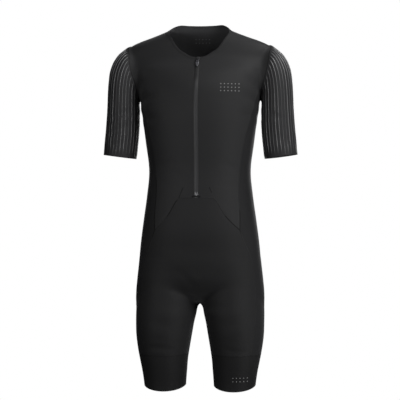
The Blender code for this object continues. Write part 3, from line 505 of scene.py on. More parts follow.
CREASES = table(  # soft folds: a line over the front (-1) or back (1), from one point to the next
    "side x0 down0 x1 down1 half_width depth",
    # the pull along the belly seam
    (-1, 0.0560, 0.4560, 0.0980, 0.5060, 0.0040, 0.0002),
    (-1, -0.0520, 0.4540, -0.1000, 0.5080, 0.0040, 0.0003),
    # creases at the waist
    (-1, 0.020, 0.395, 0.052, 0.372, 0.0060, 0.0003),
    (-1, -0.030, 0.386, -0.062, 0.366, 0.0060, 0.0003),
    (-1, 0.098, 0.360, 0.070, 0.350, 0.0070, 0.0005),
    (-1, -0.100, 0.352, -0.066, 0.343, 0.0070, 0.0006),
    (-1, 0.094, 0.400, 0.060, 0.404, 0.0065, 0.0004),
    (-1, -0.096, 0.392, -0.064, 0.398, 0.0065, 0.0004),
    # drag lines from the armholes over the chest
    (-1, 0.160, 0.196, 0.112, 0.172, 0.0085, 0.0012),
    (-1, 0.158, 0.222, 0.108, 0.226, 0.0085, 0.0010),
    (-1, 0.166, 0.165, 0.120, 0.128, 0.0090, 0.0009),
    (-1, -0.160, 0.192, -0.108, 0.166, 0.0085, 0.0014),
    (-1, -0.157, 0.220, -0.104, 0.230, 0.0090, 0.0012),
    (-1, -0.166, 0.160, -0.124, 0.120, 0.0090, 0.0010),
    # from the crotch over the thighs
    (-1, 0.012, 0.690, 0.066, 0.664, 0.0080, 0.0009),
    (-1, 0.014, 0.712, 0.074, 0.706, 0.0090, 0.0009),
    (-1, 0.006, 0.668, 0.050, 0.626, 0.0080, 0.0006),
    (-1, -0.012, 0.692, -0.070, 0.668, 0.0080, 0.0010),
    (-1, -0.014, 0.716, -0.072, 0.712, 0.0090, 0.0008),
    (-1, -0.006, 0.664, -0.046, 0.622, 0.0080, 0.0007),
    # across the lap and thighs
    (-1, -0.060, 0.560, 0.058, 0.566, 0.0150, 0.0005),
    (-1, 0.060, 0.760, 0.126, 0.742, 0.0120, 0.0009),
    (-1, -0.056, 0.766, -0.124, 0.752, 0.0120, 0.0010),
    (-1, 0.070, 0.818, 0.128, 0.826, 0.0060, 0.0007),
    (-1, -0.064, 0.822, -0.124, 0.818, 0.0060, 0.0008),
    # the back: shoulder blades, waist, seat
    (1, 0.158, 0.190, 0.098, 0.160, 0.0095, 0.0014),
    (1, -0.158, 0.194, -0.102, 0.166, 0.0095, 0.0013),
    (1, 0.150, 0.225, 0.092, 0.232, 0.0090, 0.0011),
    (1, -0.150, 0.222, -0.096, 0.228, 0.0090, 0.0012),
    (1, -0.070, 0.352, 0.062, 0.345, 0.0100, 0.0016),
    (1, -0.052, 0.384, 0.072, 0.392, 0.0095, 0.0017),
    (1, 0.096, 0.366, 0.040, 0.372, 0.0080, 0.0010),
    (1, -0.098, 0.372, -0.044, 0.366, 0.0080, 0.0011),
    (1, -0.030, 0.420, 0.044, 0.415, 0.0085, 0.0009),
    (1, 0.010, 0.700, 0.074, 0.690, 0.0090, 0.0018),
    (1, -0.010, 0.700, -0.070, 0.694, 0.0090, 0.0018),
    (1, 0.030, 0.735, 0.110, 0.716, 0.0100, 0.0012),
    (1, -0.030, 0.732, -0.108, 0.720, 0.0100, 0.0013),
    (1, 0.050, 0.800, 0.120, 0.790, 0.0080, 0.0009),
    (1, -0.052, 0.806, -0.120, 0.796, 0.0080, 0.0010),
    # sleeves, front and back
    (-1, 0.176, 0.214, 0.236, 0.236, 0.0070, 0.0010),
    (-1, 0.184, 0.270, 0.240, 0.286, 0.0080, 0.0008),
    (-1, -0.174, 0.208, -0.238, 0.240, 0.0070, 0.0014),
    (-1, -0.176, 0.248, -0.240, 0.276, 0.0075, 0.0013),
    (-1, -0.188, 0.292, -0.244, 0.306, 0.0080, 0.0009),
    (1, 0.178, 0.206, 0.234, 0.228, 0.0075, 0.0011),
    (1, -0.176, 0.214, -0.236, 0.240, 0.0075, 0.0012),
    (1, 0.184, 0.262, 0.240, 0.272, 0.0080, 0.0009),
    (1, -0.184, 0.270, -0.240, 0.282, 0.0080, 0.0010),
)
CREASE_STEPS = 24
CREASE_BOW = 0.05  # how far a crease bows, as a share of its run
CREASE_REACH = 0.09  # cloth farther than this from a crease's middle is left alone by it
CREASE_END = 0.08  # where on its half sine a crease starts, and short of which it ends
CREASE_FADE = 0.8  # the power of that half sine
RIDGE_SHARE = 0.55  # a ridge's height, as a share of its trough's depth
RIDGE_AWAY = 2.2  # how far a ridge runs from its trough, in half widths
SLEEVE_FROM = 0.17  # creases that start farther across lie on a sleeve
SLEEVE_EDGE = 0.97  # how near the arm's outline a crease may come, as a share of its half width


@functools.cache
def crease_lines():
    """Each crease as points on the form, a little bowed, with its half width and depth."""
    share = np.linspace(0, 1, CREASE_STEPS)
    lines = []
    for side, x0, d0, x1, d1, half, depth in zip(*CREASES.values()):
        bow = CREASE_BOW * (d1 - d0 + x1 - x0) * np.sin(np.pi * share)
        marks = np.stack([x0 + (x1 - x0) * share, d0 + (d1 - d0) * share + bow], axis=1)
        marks = seen(side, marks) if abs(x0) < SLEEVE_FROM else on_sleeve(side, marks)
        lines.append((marks, half, depth))
    return lines


def crease_lift(points):
    """How far the cloth stands off the form, in metres.

    Each crease is a trough with a lower ridge on both sides: minus a bell of the distance from its line, plus
    a lower bell round the distance RIDGE_AWAY. Both fade by a half sine towards the ends of the line.
    """
    flat = points.reshape(-1, 3)
    lift = np.zeros(len(flat))
    share = np.linspace(0, 1, CREASE_STEPS)
    for marks, half, depth in crease_lines():
        near = np.abs(flat - marks.mean(axis=0)).max(axis=1) < CREASE_REACH
        away = np.linalg.norm(flat[near][:, None] - marks[None], axis=2)
        along = share[np.argmin(away, axis=1)]
        away = away.min(axis=1) / half
        fade = np.sin(np.pi * (CREASE_END + (1 - 2 * CREASE_END) * along)) ** CREASE_FADE
        ridge = RIDGE_SHARE * np.exp(-((away - RIDGE_AWAY) ** 2))
        lift[near] += depth * fade * (ridge - np.exp(-(away**2)))
    return lift.reshape(points.shape[:-1])


def on_sleeve(side, marks):
    """Marks on the front or back of an arm, from rows of distance across and down."""
    marks = np.array(marks)
    hand = np.sign(marks[:, 0])
    centre, half = read(ARM, "centre", marks[:, 1]), read(ARM, "half_width", marks[:, 1])
    share = np.clip((np.abs(marks[:, 0]) - centre) / half, -SLEEVE_EDGE, SLEEVE_EDGE)
    y = ARM_MIDDLE + side * read(ARM, "half_depth", marks[:, 1]) * np.sqrt(1 - share**2)
    return np.stack([hand * (centre + half * share), y, -marks[:, 1]], axis=1)


WEAR = {"creases": 1.0}  # how deep the creases are, as a factor, taken from the settings


def worn(points, normal=None):
    """The points with the cloth's creases."""
    normal = normals(points) if normal is None else normal
    return points + (WEAR["creases"] * crease_lift(points))[..., None] * normal


# ---------------------------------------------------------------- sheets of cloth

SHARP_ANGLE = 50  # degrees between faces past which an edge of cloth stays sharp


def finer(grid, times, axis):
    """The grid with times cells for each cell along an axis: a smooth cubic through its points."""
    rows = np.moveaxis(grid, axis, 0)
    slope = np.gradient(rows, axis=0)
    at = np.arange((len(rows) - 1) * times + 1) / times
    row = np.minimum(at.astype(int), len(rows) - 2)
    t = (at - row)[:, None, None]
    value = rows[row] + (rows[row + 1] - rows[row]) * t * t * (3 - 2 * t)
    value = value + t * (1 - t) * (slope[row] * (1 - t) - slope[row + 1] * t)
    return np.moveaxis(value, 0, axis)


def sheet(bottom, top, left, right, rounds=60):
    """A grid between four seams that share their corners, laid on the form and evened out.

    It is worked out as in the solids: the sum of the straight blends between facing seams, less the blend of
    the corners, then each point moved to the mean of its neighbours. Cubics make the grid finer, and the seams'
    own points take over at its edges.
    """
    b, t, s, r = (line[::FINE] for line in (bottom, top, left, right))
    u = np.linspace(0, 1, len(b))[None, :, None]
    v = np.linspace(0, 1, len(s))[:, None, None]
    grid = (1 - v) * b[None] + v * t[None] + (1 - u) * s[:, None] + u * r[:, None]
    grid = grid - ((1 - u) * (1 - v) * b[0] + u * (1 - v) * b[-1] + (1 - u) * v * t[0] + u * v * t[-1])
    inner = grid[1:-1, 1:-1]
    for _ in range(rounds):
        mean = (grid[:-2, 1:-1] + grid[2:, 1:-1] + grid[1:-1, :-2] + grid[1:-1, 2:]) / 4
        inner[:] = settled(mean, rounds=2)
        down = -inner[..., 2]
        sleeve_side = np.where(down < ARM_END, read(ARMHOLE, "across", down) - SEAM_CLEAR, 1.0)
        inner[..., 0] = np.clip(np.abs(inner[..., 0]), 0, sleeve_side)
    inner[:] = settled(inner)
    grid = finer(finer(grid, FINE, 0), FINE, 1)
    rows, columns = grid.shape[:2]
    up = np.clip(1 - np.arange(rows) / FINE, 0, 1)[:, None, None]
    over = np.clip(1 - np.arange(columns) / FINE, 0, 1)[None, :, None]
    low, high, near, far = bottom - grid[0], top - grid[-1], left - grid[:, 0], right - grid[:, -1]
    grid = grid + up * low[None] + up[::-1] * high[None]
    grid = grid + over * near[:, None] + over[:, ::-1] * far[:, None]
    grid[1:-1, 1:-1] = settled(grid[1:-1, 1:-1], rounds=3)
    grid[0], grid[-1], grid[:, 0], grid[:, -1] = bottom, top, left, right
    return grid


def weave_places(grid):
    """Places on the cloth in metres: along its courses and along its wales, as lengths over the grid."""
    across = np.linalg.norm(np.diff(grid, axis=1), axis=2)
    along = np.linalg.norm(np.diff(grid, axis=0), axis=2)
    u = np.concatenate([np.zeros((len(grid), 1)), np.cumsum(across, axis=1)], axis=1)
    v = np.concatenate([np.zeros((1, grid.shape[1])), np.cumsum(along, axis=0)], axis=0)
    return np.stack([u, v], axis=-1)


def grid_faces(rows, columns, closed=False):
    """Quads over a grid of points, row by row, joined round where closed."""
    r, c = np.meshgrid(np.arange(rows - 1), np.arange(columns if closed else columns - 1), indexing="ij")
    after = (c + 1) % columns
    quads = np.stack([r * columns + c, r * columns + after, (r + 1) * columns + after, (r + 1) * columns + c])
    return quads.reshape(4, -1).T


def grid_rim(rows, columns, closed=False):
    """The border of a grid as directed edges, counter to its faces' neighbours."""
    at = np.arange(rows * columns).reshape(rows, columns)
    if closed:
        bottom, top = at[0], at[-1]
        return np.concatenate(
            [np.stack([bottom, np.roll(bottom, -1)], 1), np.stack([np.roll(top, -1), top], 1)]
        )
    loop = np.concatenate([at[0, :-1], at[:-1, -1], at[-1, :0:-1], at[:0:-1, 0]])
    return np.stack([loop, np.roll(loop, -1)], 1)


def shell(outer, inner, closed=False):
    """A closed wall of cloth from its outer and inner grids: two faces and a rim.

    Edges in the middle plane get no rim, so that a mirrored half can join there.
    """
    rows, columns = outer.shape[:2]
    points = np.concatenate([outer.reshape(-1, 3), inner.reshape(-1, 3)])
    faces, rim = grid_faces(rows, columns, closed), grid_rim(rows, columns, closed)
    count = rows * columns
    in_plane = (np.abs(points[rim][..., 0]) < ON_PLANE).all(axis=1)
    rim = rim[~in_plane]
    wall = np.stack([rim[:, 1], rim[:, 0], rim[:, 0] + count, rim[:, 1] + count], 1)
    every = np.concatenate([faces, faces[:, ::-1] + count, wall])
    a, b, c = (points[faces[:, k]] for k in range(3))
    away = (outer - inner).reshape(-1, 3)[faces[:, 0]]
    if (np.cross(b - a, c - a) * away).sum() < 0:
        every = every[:, ::-1]
    return points, every


def laid_out(mesh, places):
    """The mesh shaded smooth, with a UV map in metres on the cloth."""
    corner = np.zeros(len(mesh.loops), dtype=np.int32)
    mesh.loops.foreach_get("vertex_index", corner)
    mesh.uv_layers.new(name="cloth").uv.foreach_set("vector", places[corner].astype(np.float32).ravel())
    mesh.shade_smooth()
    return mesh


def cloth_mesh(name, points, faces, places):
    """A mesh of cloth: smooth but for its cut edges."""
    mesh = bpy.data.meshes.new(name)
    mesh.from_pydata(points.tolist(), [], faces.tolist())
    laid_out(mesh, places).set_sharp_from_angle(angle=math.radians(SHARP_ANGLE))
    return mesh


def piece(name, mesh, look, body="suit"):
    """A piece in the scene: its finish and the body it rides on."""
    laid = bpy.data.objects.new(name, mesh)
    bpy.context.scene.collection.objects.link(laid)
    mesh.materials.append(look)
    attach(laid, body)
    return laid


HANDS = {"left": 1, "right": -1}  # the wearer's sides, by the sign of x


def cloth_piece(name, mesh, look):
    """A sheet of cloth in place of its solid, which is hidden."""
    laid = piece(f"{name}_cloth", mesh, look)
    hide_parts(name)


def wall_of(grid, thickness):
    """The creased outer grid and the inner grid under it."""
    normal = normals(grid)
    outer = worn(grid, normal)
    return outer, outer - thickness * normal


def wall_places(grid):
    """Places on the cloth for the outer and the inner points of a wall."""
    return np.tile(weave_places(grid).reshape(-1, 2), (2, 1))


def half_cloth(grid, side, thickness):
    """Points, faces and places of a panel on one side of the body."""
    points, faces = shell(*wall_of(grid * (side, 1, 1), thickness))
    return points, faces, wall_places(grid)


def both_halves(left, right):
    """Points, faces and places of a panel that crosses the middle, from its two halves."""
    points = np.concatenate([left[0], right[0]])
    faces = np.concatenate([left[1], right[1] + len(left[0])])
    places = np.concatenate([left[2], right[2] * (-1, 1)])
    return points, faces, places


def whole_cloth(name, left, right):
    """The mesh of a panel that crosses the middle, its two halves merged where they meet."""
    mesh = cloth_mesh(name, *both_halves(left, right))
    shape = bmesh.new()
    shape.from_mesh(mesh)
    middle = [v for v in shape.verts if abs(v.co.x) < ON_PLANE]
    bmesh.ops.remove_doubles(shape, verts=middle, dist=ON_PLANE)
    shape.to_mesh(mesh)
    shape.free()
    mesh.set_sharp_from_angle(angle=math.radians(SHARP_ANGLE))
    return mesh


BEAD_ACROSS = np.array([-1, -0.7, -0.35, 0, 0.35, 0.7, 1, 0])  # over the arch, then back below its middle


def bead(line, normal, width, height, closed=False, sink=0.0002):
    """A low rounded strip along a line on the cloth: a flat arch carried along it, closed underneath.

    The profile is s across and height times (1 - s^4) up, over a base sunk a little into the cloth.
    """
    step = np.roll(line, -1, 0) - np.roll(line, 1, 0) if closed else np.gradient(line, axis=0)
    across = np.cross(normal, step)
    across /= np.linalg.norm(across, axis=1, keepdims=True)
    s, corners = BEAD_ACROSS, len(BEAD_ACROSS)
    up = np.where(np.arange(corners) < corners - 1, height * (1 - s**4) - sink * s**4, -sink)
    s = s * width / 2
    points = line[:, None] + s[None, :, None] * across[:, None] + up[None, :, None] * normal[:, None]
    rows = len(line)
    at = np.arange(rows * corners).reshape(rows, corners)
    if closed:
        at = np.concatenate([at, at[:1]])
    a, b = at[:-1], at[1:]
    quads = np.stack([a, np.roll(a, -1, 1), np.roll(b, -1, 1), b], axis=-1).reshape(-1, 4).tolist()
    caps = [] if closed else [at[0, ::-1].tolist(), at[-1].tolist()]
    way = np.concatenate([[0], np.cumsum(np.linalg.norm(np.diff(line, axis=0), axis=1))])
    places = np.stack([np.tile(s, rows), np.repeat(way, corners)], axis=1)
    return points.reshape(-1, 3), quads + caps, places


def strip_mesh(name, points, faces, places):
    """A mesh of a strip, its faces turned outwards."""
    mesh = bpy.data.meshes.new(name)
    mesh.from_pydata(points.tolist(), [], faces)
    shape = bmesh.new()
    shape.from_mesh(mesh)
    bmesh.ops.recalc_face_normals(shape, faces=shape.faces)
    shape.to_mesh(mesh)
    shape.free()
    return laid_out(mesh, places)


def sewn(name, line, width, height, look, closed=False):
    """A strip sewn along a line on the form, lifted by the creases under it."""
    normal = normals(line)
    strip = bead(worn(line, normal), normal, width, height, closed)
    piece(name, strip_mesh(name, *strip), look)


# ---------------------------------------------------------------- finishes


class Socket:
    """A shader socket that adds a Math node when it is reckoned with."""

    def __init__(self, tree, socket):
        self.tree, self.socket = tree, socket

    def node(self, kind, settings=(), **values):
        """Any node: its settings first, then the values or links of its sockets, by name or _number."""
        added = self.tree.nodes.new(kind)
        for key, value in dict(settings).items():
            setattr(added, key, value)
        for key, value in values.items():
            into = added.inputs[int(key[1:])] if key[0] == "_" else added.inputs[key.replace("_", " ")]
            if isinstance(value, Socket):
                self.tree.links.new(value.socket, into)
            else:
                into.default_value = value
        return added

    def out(self, kind, settings=(), output=0, **values):
        """The output of any node, as a Socket."""
        return Socket(self.tree, self.node(kind, settings, **values).outputs[output])

    def math(self, operation, *others):
        """A Math node on this value and the others."""
        values = {f"_{k}": v for k, v in enumerate((self, *others))}
        return self.out("ShaderNodeMath", {"operation": operation}, **values)

    def __add__(self, other):
        return self.math("ADD", other)

    def __mul__(self, other):
        return self.math("MULTIPLY", other)

    def __sub__(self, other):
        return self.math("SUBTRACT", other)

    def __rsub__(self, other):
        return self.out("ShaderNodeMath", {"operation": "SUBTRACT"}, _0=other, _1=self)

    def __truediv__(self, other):
        return self.math("DIVIDE", other)

    def __pow__(self, other):
        return self.math("POWER", other)

    __radd__, __rmul__ = __add__, __mul__

    def wave(self, pitch):
        """A sine of a length, from 0 to 1, with a pitch in metres."""
        return (self * (2 * math.pi / pitch)).math("SINE") * 0.5 + 0.5

    def step(self, low, high):
        """0 below low, 1 above high, smooth between them."""
        kind = {"interpolation_type": "SMOOTHSTEP"}
        return self.out("ShaderNodeMapRange", kind, _0=self, _1=low, _2=high, _3=0.0, _4=1.0)

    def part(self, axis):
        """One axis of a vector."""
        return self.out("ShaderNodeSeparateXYZ", (), "XYZ".index(axis), _0=self)

    def noise(self, scale, detail=2.0):
        """Noise over a vector, from 0 to 1."""
        return self.out("ShaderNodeTexNoise", (), 0, Vector=self, Scale=scale, Detail=detail)

    def between(self, low, high):
        """A colour that runs from low to high as the value runs from 0 to 1."""
        low, high = (c if isinstance(c, Socket) else (*c, 1.0) for c in (low, high))
        return self.out("ShaderNodeMix", {"data_type": "RGBA"}, 2, _0=self, _6=low, _7=high)

    def tones(self, colour, low, high):
        """A colour from a low to a high share of it as the value runs from 0 to 1."""
        return self.between(tinted(colour, low), tinted(colour, high))


def tinted(colour, share):
    """A colour times a share."""
    return tuple(c * share for c in colour)


def finish(name, surface, **constants):
    """A Principled material: constants on its sockets, and surface gives colour, roughness and relief.

    surface takes the Object coordinates and the cloth's own places, and returns the values of the sockets that
    vary, and the height in metres that a Bump node turns into normals.
    """
    material = bpy.data.materials.new(name)
    material.use_nodes = True
    tree = material.node_tree
    shader = tree.nodes["Principled BSDF"]
    for key, value in constants.items():
        shader.inputs[key.replace("_", " ")].default_value = value
    start = Socket(tree, None)
    places = start.node("ShaderNodeTexCoord")
    varying, height = surface(Socket(tree, places.outputs["Object"]), Socket(tree, places.outputs["UV"]))
    for key, value in varying.items():
        tree.links.new(value.socket, shader.inputs[key.replace("_", " ")])
    if height is not None:
        bump = start.node("ShaderNodeBump", (), Height=height, Strength=1.0, Distance=1.0)
        tree.links.new(bump.outputs[0], shader.inputs["Normal"])
    return material


PRINT_COLOUR = (0.45, 0.45, 0.45)
PRINT_GLOSS = 0.15  # how much smoother the print is than the cloth
PRINT_HEIGHT = 0.00005
DOT_EDGE = 0.03  # how soft a dot's edge is, as a share of the pitch
DOTS_CHEST = ((0.058, 0.112, -0.168, -0.141), 0.0090, 0.0011, FRONT)
DOTS_THIGH = ((0.086, 0.131, -0.907, -0.889), 0.0090, 0.0011, FRONT)
DOTS_NECK = ((-0.0225, 0.0225, -0.027, -0.009), 0.0090, 0.0009, BACK)


def dot_print(place, box, pitch, radius, side):
    """A mask of dots on a square grid, inside a box of x and z in metres, on the front or back."""
    x0, x1, z0, z1 = box
    x, y, z = (place.part(axis) for axis in "XYZ")
    u, w = (x - x0) / pitch, (z - z0) / pitch
    du, dw = u.math("FRACT") - 0.5, w.math("FRACT") - 0.5
    away = (du * du + dw * dw).math("SQRT")
    inside = x.math("GREATER_THAN", x0) * x.math("LESS_THAN", x1)
    inside = inside * z.math("GREATER_THAN", z0) * z.math("LESS_THAN", z1)
    inside = inside * y.math("LESS_THAN" if side < 0 else "GREATER_THAN", 0.0)
    return (1 - away.step(radius / pitch - DOT_EDGE, radius / pitch + DOT_EDGE)) * inside


def printed(base, rough, height, mask):
    """The colour, roughness and relief with a print of pale dots over them."""
    return mask.between(base, PRINT_COLOUR), rough - mask * PRINT_GLOSS, height + mask * PRINT_HEIGHT


KNIT_TONES = (0.80, 1.32)  # the knit's darkest and palest tone, as shares of its colour
KNIT_RELIEF = 0.00006
COURSE_SHARE = 0.8  # a course's height, as a share of a wale's width
STITCH_LEAN = 0.35  # how far a stitch leans, as a share of its course
CLOUDS, FIBRES = 9.0, 420.0  # noise to the metre: cloudy tone and single fibres
SHEEN_ROUGHNESS = 0.45
SHEEN_TINT = (0.8, 0.8, 0.82, 1)


def knit_height(cloth, wale):
    """The relief of plain knit: rounded wales, each broken into stitches that lean."""
    u, v = cloth.part("X"), cloth.part("Y")
    course = wale * COURSE_SHARE
    wales = u.wave(wale)
    stitches = (v + wales * (STITCH_LEAN * course)).wave(course)
    return (wales * 0.6 + stitches * 0.4) * KNIT_RELIEF


def inner_face(place):
    """A mask of the back's inner face, which looks forwards: where painted light and the print go."""
    facing = place.out("ShaderNodeNewGeometry", (), "Normal").part("Y")
    return (1 - facing.step(-0.1, 0.1)) * place.part("Y").step(0.0, 0.02)


def knit(name, colour, wale, roughness, sheen, dots=None, inside=None, paler=None):
    """Stretch knit: fine wales and courses, cloudy tone and gloss, and where asked a small print of dots.

    inside is the colour of the back's inner face, painted lighter as painted light where the lamps hardly reach
    into the neck; that face then has the print. paler gives two heights and a share: between them the tone rises
    by the share, painted light above the belly and painted shade below it, where it turns down.
    """

    def surface(place, cloth):
        cloud = place.noise(CLOUDS, 3.0)
        fibre = place.noise(FIBRES, 1.0)
        tone = cloud * 0.30 + fibre * 0.30
        if paler:
            low, high, share = paler
            # painted light: the tone rises above the given heights, and below them the knit is left darker as painted
            # shade
            tone = tone + place.part("Z").step(low, high) * share
        base = tone.tones(colour, *KNIT_TONES)
        rough = cloud * 0.14 + fibre * 0.10 + (roughness - 0.12)
        height = knit_height(cloth, wale)
        mask = dot_print(place, *dots) if dots else None
        # painted light: the inner face that looks forwards is coloured lighter
        if inside:
            inner = inner_face(place)
            base = inner.between(base, tone.tones(inside, *KNIT_TONES))
            mask = mask * inner if dots else None
        if dots:
            base, rough, height = printed(base, rough, height, mask)
        return {"Base_Color": base, "Roughness": rough}, height

    return finish(
        name,
        surface,
        Sheen_Weight=sheen,
        Sheen_Roughness=SHEEN_ROUGHNESS,
        Specular_IOR_Level=0.30,
        Sheen_Tint=SHEEN_TINT,
    )


RIB_CREST, RIB_FOOT = 0.04, 0.13  # half widths of a rib's pale crest and of its foot, in pitches
RIB_STARTS = (0.002, 0.012)  # the first millimetres below the armhole, over which a rib grows pale
RIB_HIGHLIGHT_GAIN = 3.4  # how much lighter the painted highlight makes the ribs over the shoulder
RIB_GLOSS, RIB_COAT = 0.32, 0.9
RIBS_BETWEEN = 9  # fine lines of the ground from one rib to the next
PATCH_TONE, PATCH_SWING = 0.72, 0.28  # the ribs' uneven paleness


def ribbed(name, colour, rib_colour):
    """Sleeve knit: matte ground with glossy pale ribs. The cloth's u counts ribs and its v is in metres."""

    def surface(place, cloth):
        u, v = cloth.part("X"), cloth.part("Y")
        z = place.part("Z")
        away = ((u + 0.5).math("FRACT") - 0.5).math("ABSOLUTE")
        ends = v.step(*RIB_STARTS) * z.step(-CUFF_DOWN, RIB_PALES - CUFF_DOWN)
        rib = (1 - away.step(RIB_CREST, RIB_FOOT)) * ends
        cloud = place.noise(14.0, 3.0)
        fibre = place.noise(500.0, 1.0)
        sway = u * 0.37 + place.noise(6.0, 1.0) * 3.0 + v * 9.0
        patch = sway.math("SINE") * PATCH_SWING + PATCH_TONE
        ground = (cloud * 0.5 + fibre * 0.3).tones(colour, 0.75, 1.30)
        # painted highlight: the ribs' colour lightens over the shoulder caps, where the light catches them
        crest = z.step(*RIB_HIGHLIGHT_HEIGHTS).tones(rib_colour, 1.0, RIB_HIGHLIGHT_GAIN)
        base = (rib * (cloud * 0.4 + 0.6) * patch).between(ground, crest)
        rough = 0.60 - rib * RIB_GLOSS + fibre * 0.06
        height = (u * RIBS_BETWEEN).wave(1.0) * (1 - rib) * 0.00005 + v.wave(0.0011) * 0.00003
        return {"Base_Color": base, "Roughness": rough, "Coat_Weight": rib * RIB_COAT}, height

    return finish(name, surface, Sheen_Weight=0.06, Sheen_Roughness=0.4, Specular_IOR_Level=0.45, Coat_Roughness=0.22)


STITCH_HEIGHT = 0.00014
SEAM_SHADOW_TONE = 0.12  # how dark the painted shadow along a seam is, as a share of its ground
SEAM_SHADOW_STARTS, SEAM_SHADOW_ENDS = 0.012, 0.006  # over what heights the painted shadow comes and goes


def stitched(name, ground, thread, pitch=0.0022, shadow_span=None):
    """Thread over a seam: stitches lean across it, one for each pitch.

    Between the two heights given, the seam is painted dark: a painted shadow line along it.
    """

    def surface(place, cloth):
        u, v = cloth.part("X"), cloth.part("Y")
        stitch = (v + u.math("ABSOLUTE") * 0.6).wave(pitch)
        base = (stitch**2).between(ground, thread)
        if shadow_span:
            low, high = shadow_span
            z = place.part("Z")
            # painted shadow: the seam darkens between the two heights
            seam_shadow = z.step(low - SEAM_SHADOW_STARTS, low) * (1 - z.step(high, high + SEAM_SHADOW_ENDS))
            base = seam_shadow.between(base, tinted(ground, SEAM_SHADOW_TONE))
        return {"Base_Color": base, "Roughness": 0.62 - stitch * 0.12}, stitch * STITCH_HEIGHT

    return finish(name, surface, Sheen_Weight=0.05, Specular_IOR_Level=0.3)


COIL_EDGE = (0.0010, 0.0024)  # from the zip's middle, where the coil's ridges fade out
COIL_PITCH, TAPE_PITCH = 0.0014, 0.0006
PAINTED_GLOSS_FROM = (0.062, 0.086)  # down the zip, where the painted highlight on the tape begins
PAINTED_GLOSS_EDGE = (0.0022, 0.0058)  # from the zip's middle, where the painted highlight fades out


def zip_coating(name, colour):
    """The covered coil zip: smooth coated tape, coil ridges beside the middle, a painted highlight below the chest.
    """

    def surface(place, cloth):
        u, v = cloth.part("X"), cloth.part("Y")
        coil = 1 - u.step(*COIL_EDGE)
        teeth = v.wave(COIL_PITCH) * coil
        weave = v.wave(TAPE_PITCH) * u.wave(TAPE_PITCH) * (1 - coil)
        cloud = place.noise(30.0, 2.0)
        # painted highlight: below the chest the tape's middle is coloured lighter, and made smoother
        painted_gloss = v.step(*PAINTED_GLOSS_FROM) * (1 - u.step(*PAINTED_GLOSS_EDGE))
        base = (cloud * 0.15 + teeth * 0.15 + painted_gloss * 0.75).tones(colour, 0.40, 1.45)
        rough = 0.50 + cloud * 0.10 - painted_gloss * 0.10
        return {"Base_Color": base, "Roughness": rough}, teeth * 0.00006 + weave * 0.00003

    return finish(name, surface, Specular_IOR_Level=0.5, Sheen_Weight=0.05)


BAND_RIDGE, BAND_WALE = 0.0032, 0.0012  # pitch of the elastic's ridges and of its wales


def band_knit(name, colour, dots=None):
    """Elastic band: close ridges round the leg and a slight gloss."""

    def surface(place, cloth):
        u, v = cloth.part("X"), cloth.part("Y")
        ridge = v.wave(BAND_RIDGE)
        cloud = place.noise(12.0, 3.0)
        base = (ridge * 0.3 + cloud * 0.4).tones(colour, 0.80, 1.28)
        rough = 0.60 + cloud * 0.12
        height = ridge * 0.00007 + u.wave(BAND_WALE) * 0.00003
        if dots:
            base, rough, height = printed(base, rough, height, dot_print(place, *dots))
        return {"Base_Color": base, "Roughness": rough}, height

    return finish(name, surface, Sheen_Weight=0.10, Sheen_Roughness=SHEEN_ROUGHNESS, Specular_IOR_Level=0.3)


def metal(name, colour, roughness):
    """Die-cast metal under thin enamel, worn paler at random."""

    def surface(place, cloth):
        wear = place.noise(700.0, 3.0)
        return {"Base_Color": wear.tones(colour, 0.75, 1.4), "Roughness": roughness + wear * 0.15}, wear * 0.00002

    return finish(name, surface, Metallic=1.0)


def floor_paint(name):
    """The floor's even, pale paint."""

    def surface(place, cloth):
        speck = place.noise(60.0, 3.0)
        return {"Base_Color": speck.tones((1.0, 1.0, 1.0), 0.78, 0.84), "Roughness": 0.6 + speck * 0.2}, None

    return finish(name, surface, Emission_Color=(1.0, 1.0, 1.0, 1.0), Emission_Strength=0.45)


# ---------------------------------------------------------------- settings


class ClothSettings(bpy.types.PropertyGroup):
    """Sizes and colours of the cloth."""

    thickness: FloatProperty(
        name="Thickness", description="Thickness of the cloth", default=0.0008, min=0.0003, subtype="DISTANCE"
    )
    knit_pitch: FloatProperty(
        name="Knit pitch", description="Width of one wale of the knit", default=0.0012, min=0.0004, subtype="DISTANCE"
    )
    crease_depth: FloatProperty(
        name="Crease depth", description="How deep the creases are, as a factor", default=1.0, min=0.0
    )
    rib_height: FloatProperty(
        name="Rib height",
        description="How far the sleeve ribs stand out",
        default=0.0008,
        min=0.0,
        subtype="DISTANCE",
    )
    seam_width: FloatProperty(
        name="Seam width", description="Width of the flat seams", default=0.0024, min=0.001, subtype="DISTANCE"
    )
    seam_height: FloatProperty(
        name="Seam height", description="How far the flat seams stand out", default=0.0002, subtype="DISTANCE"
    )
    body_colour: FloatVectorProperty(
        name="Body", description="Fronts and back", subtype="COLOR", default=tinted(SLOT_COLOURS["front_knit"], 1.1)
    )
    side_colour: FloatVectorProperty(
        name="Sides", description="Side panels", subtype="COLOR", default=tinted(SLOT_COLOURS["side_knit"], 1.3)
    )
    shorts_colour: FloatVectorProperty(
        name="Shorts", description="Shorts", subtype="COLOR", default=tinted(SLOT_COLOURS["shorts_knit"], 0.9)
    )
    sleeve_colour: FloatVectorProperty(
        name="Sleeves",
        description="Ground of the sleeves",
        subtype="COLOR",
        default=tinted(SLOT_COLOURS["ribbed_knit"], 0.95),
    )
    rib_colour: FloatVectorProperty(
        name="Ribs", description="Crests of the sleeve ribs", subtype="COLOR", default=(0.22, 0.22, 0.224)
    )


class ZipSettings(bpy.types.PropertyGroup):
    """Colours of the zip."""

    coating: FloatVectorProperty(
        name="Coating", description="Coated tape", subtype="COLOR", default=SLOT_COLOURS["zip_tape"]
    )
    slider_colour: FloatVectorProperty(
        name="Slider", description="Slider and pull", subtype="COLOR", default=SLOT_COLOURS["dark_metal"]
    )
    stop_colour: FloatVectorProperty(
        name="Stop", description="Bottom stop", subtype="COLOR", default=SLOT_COLOURS["stop_metal"]
    )


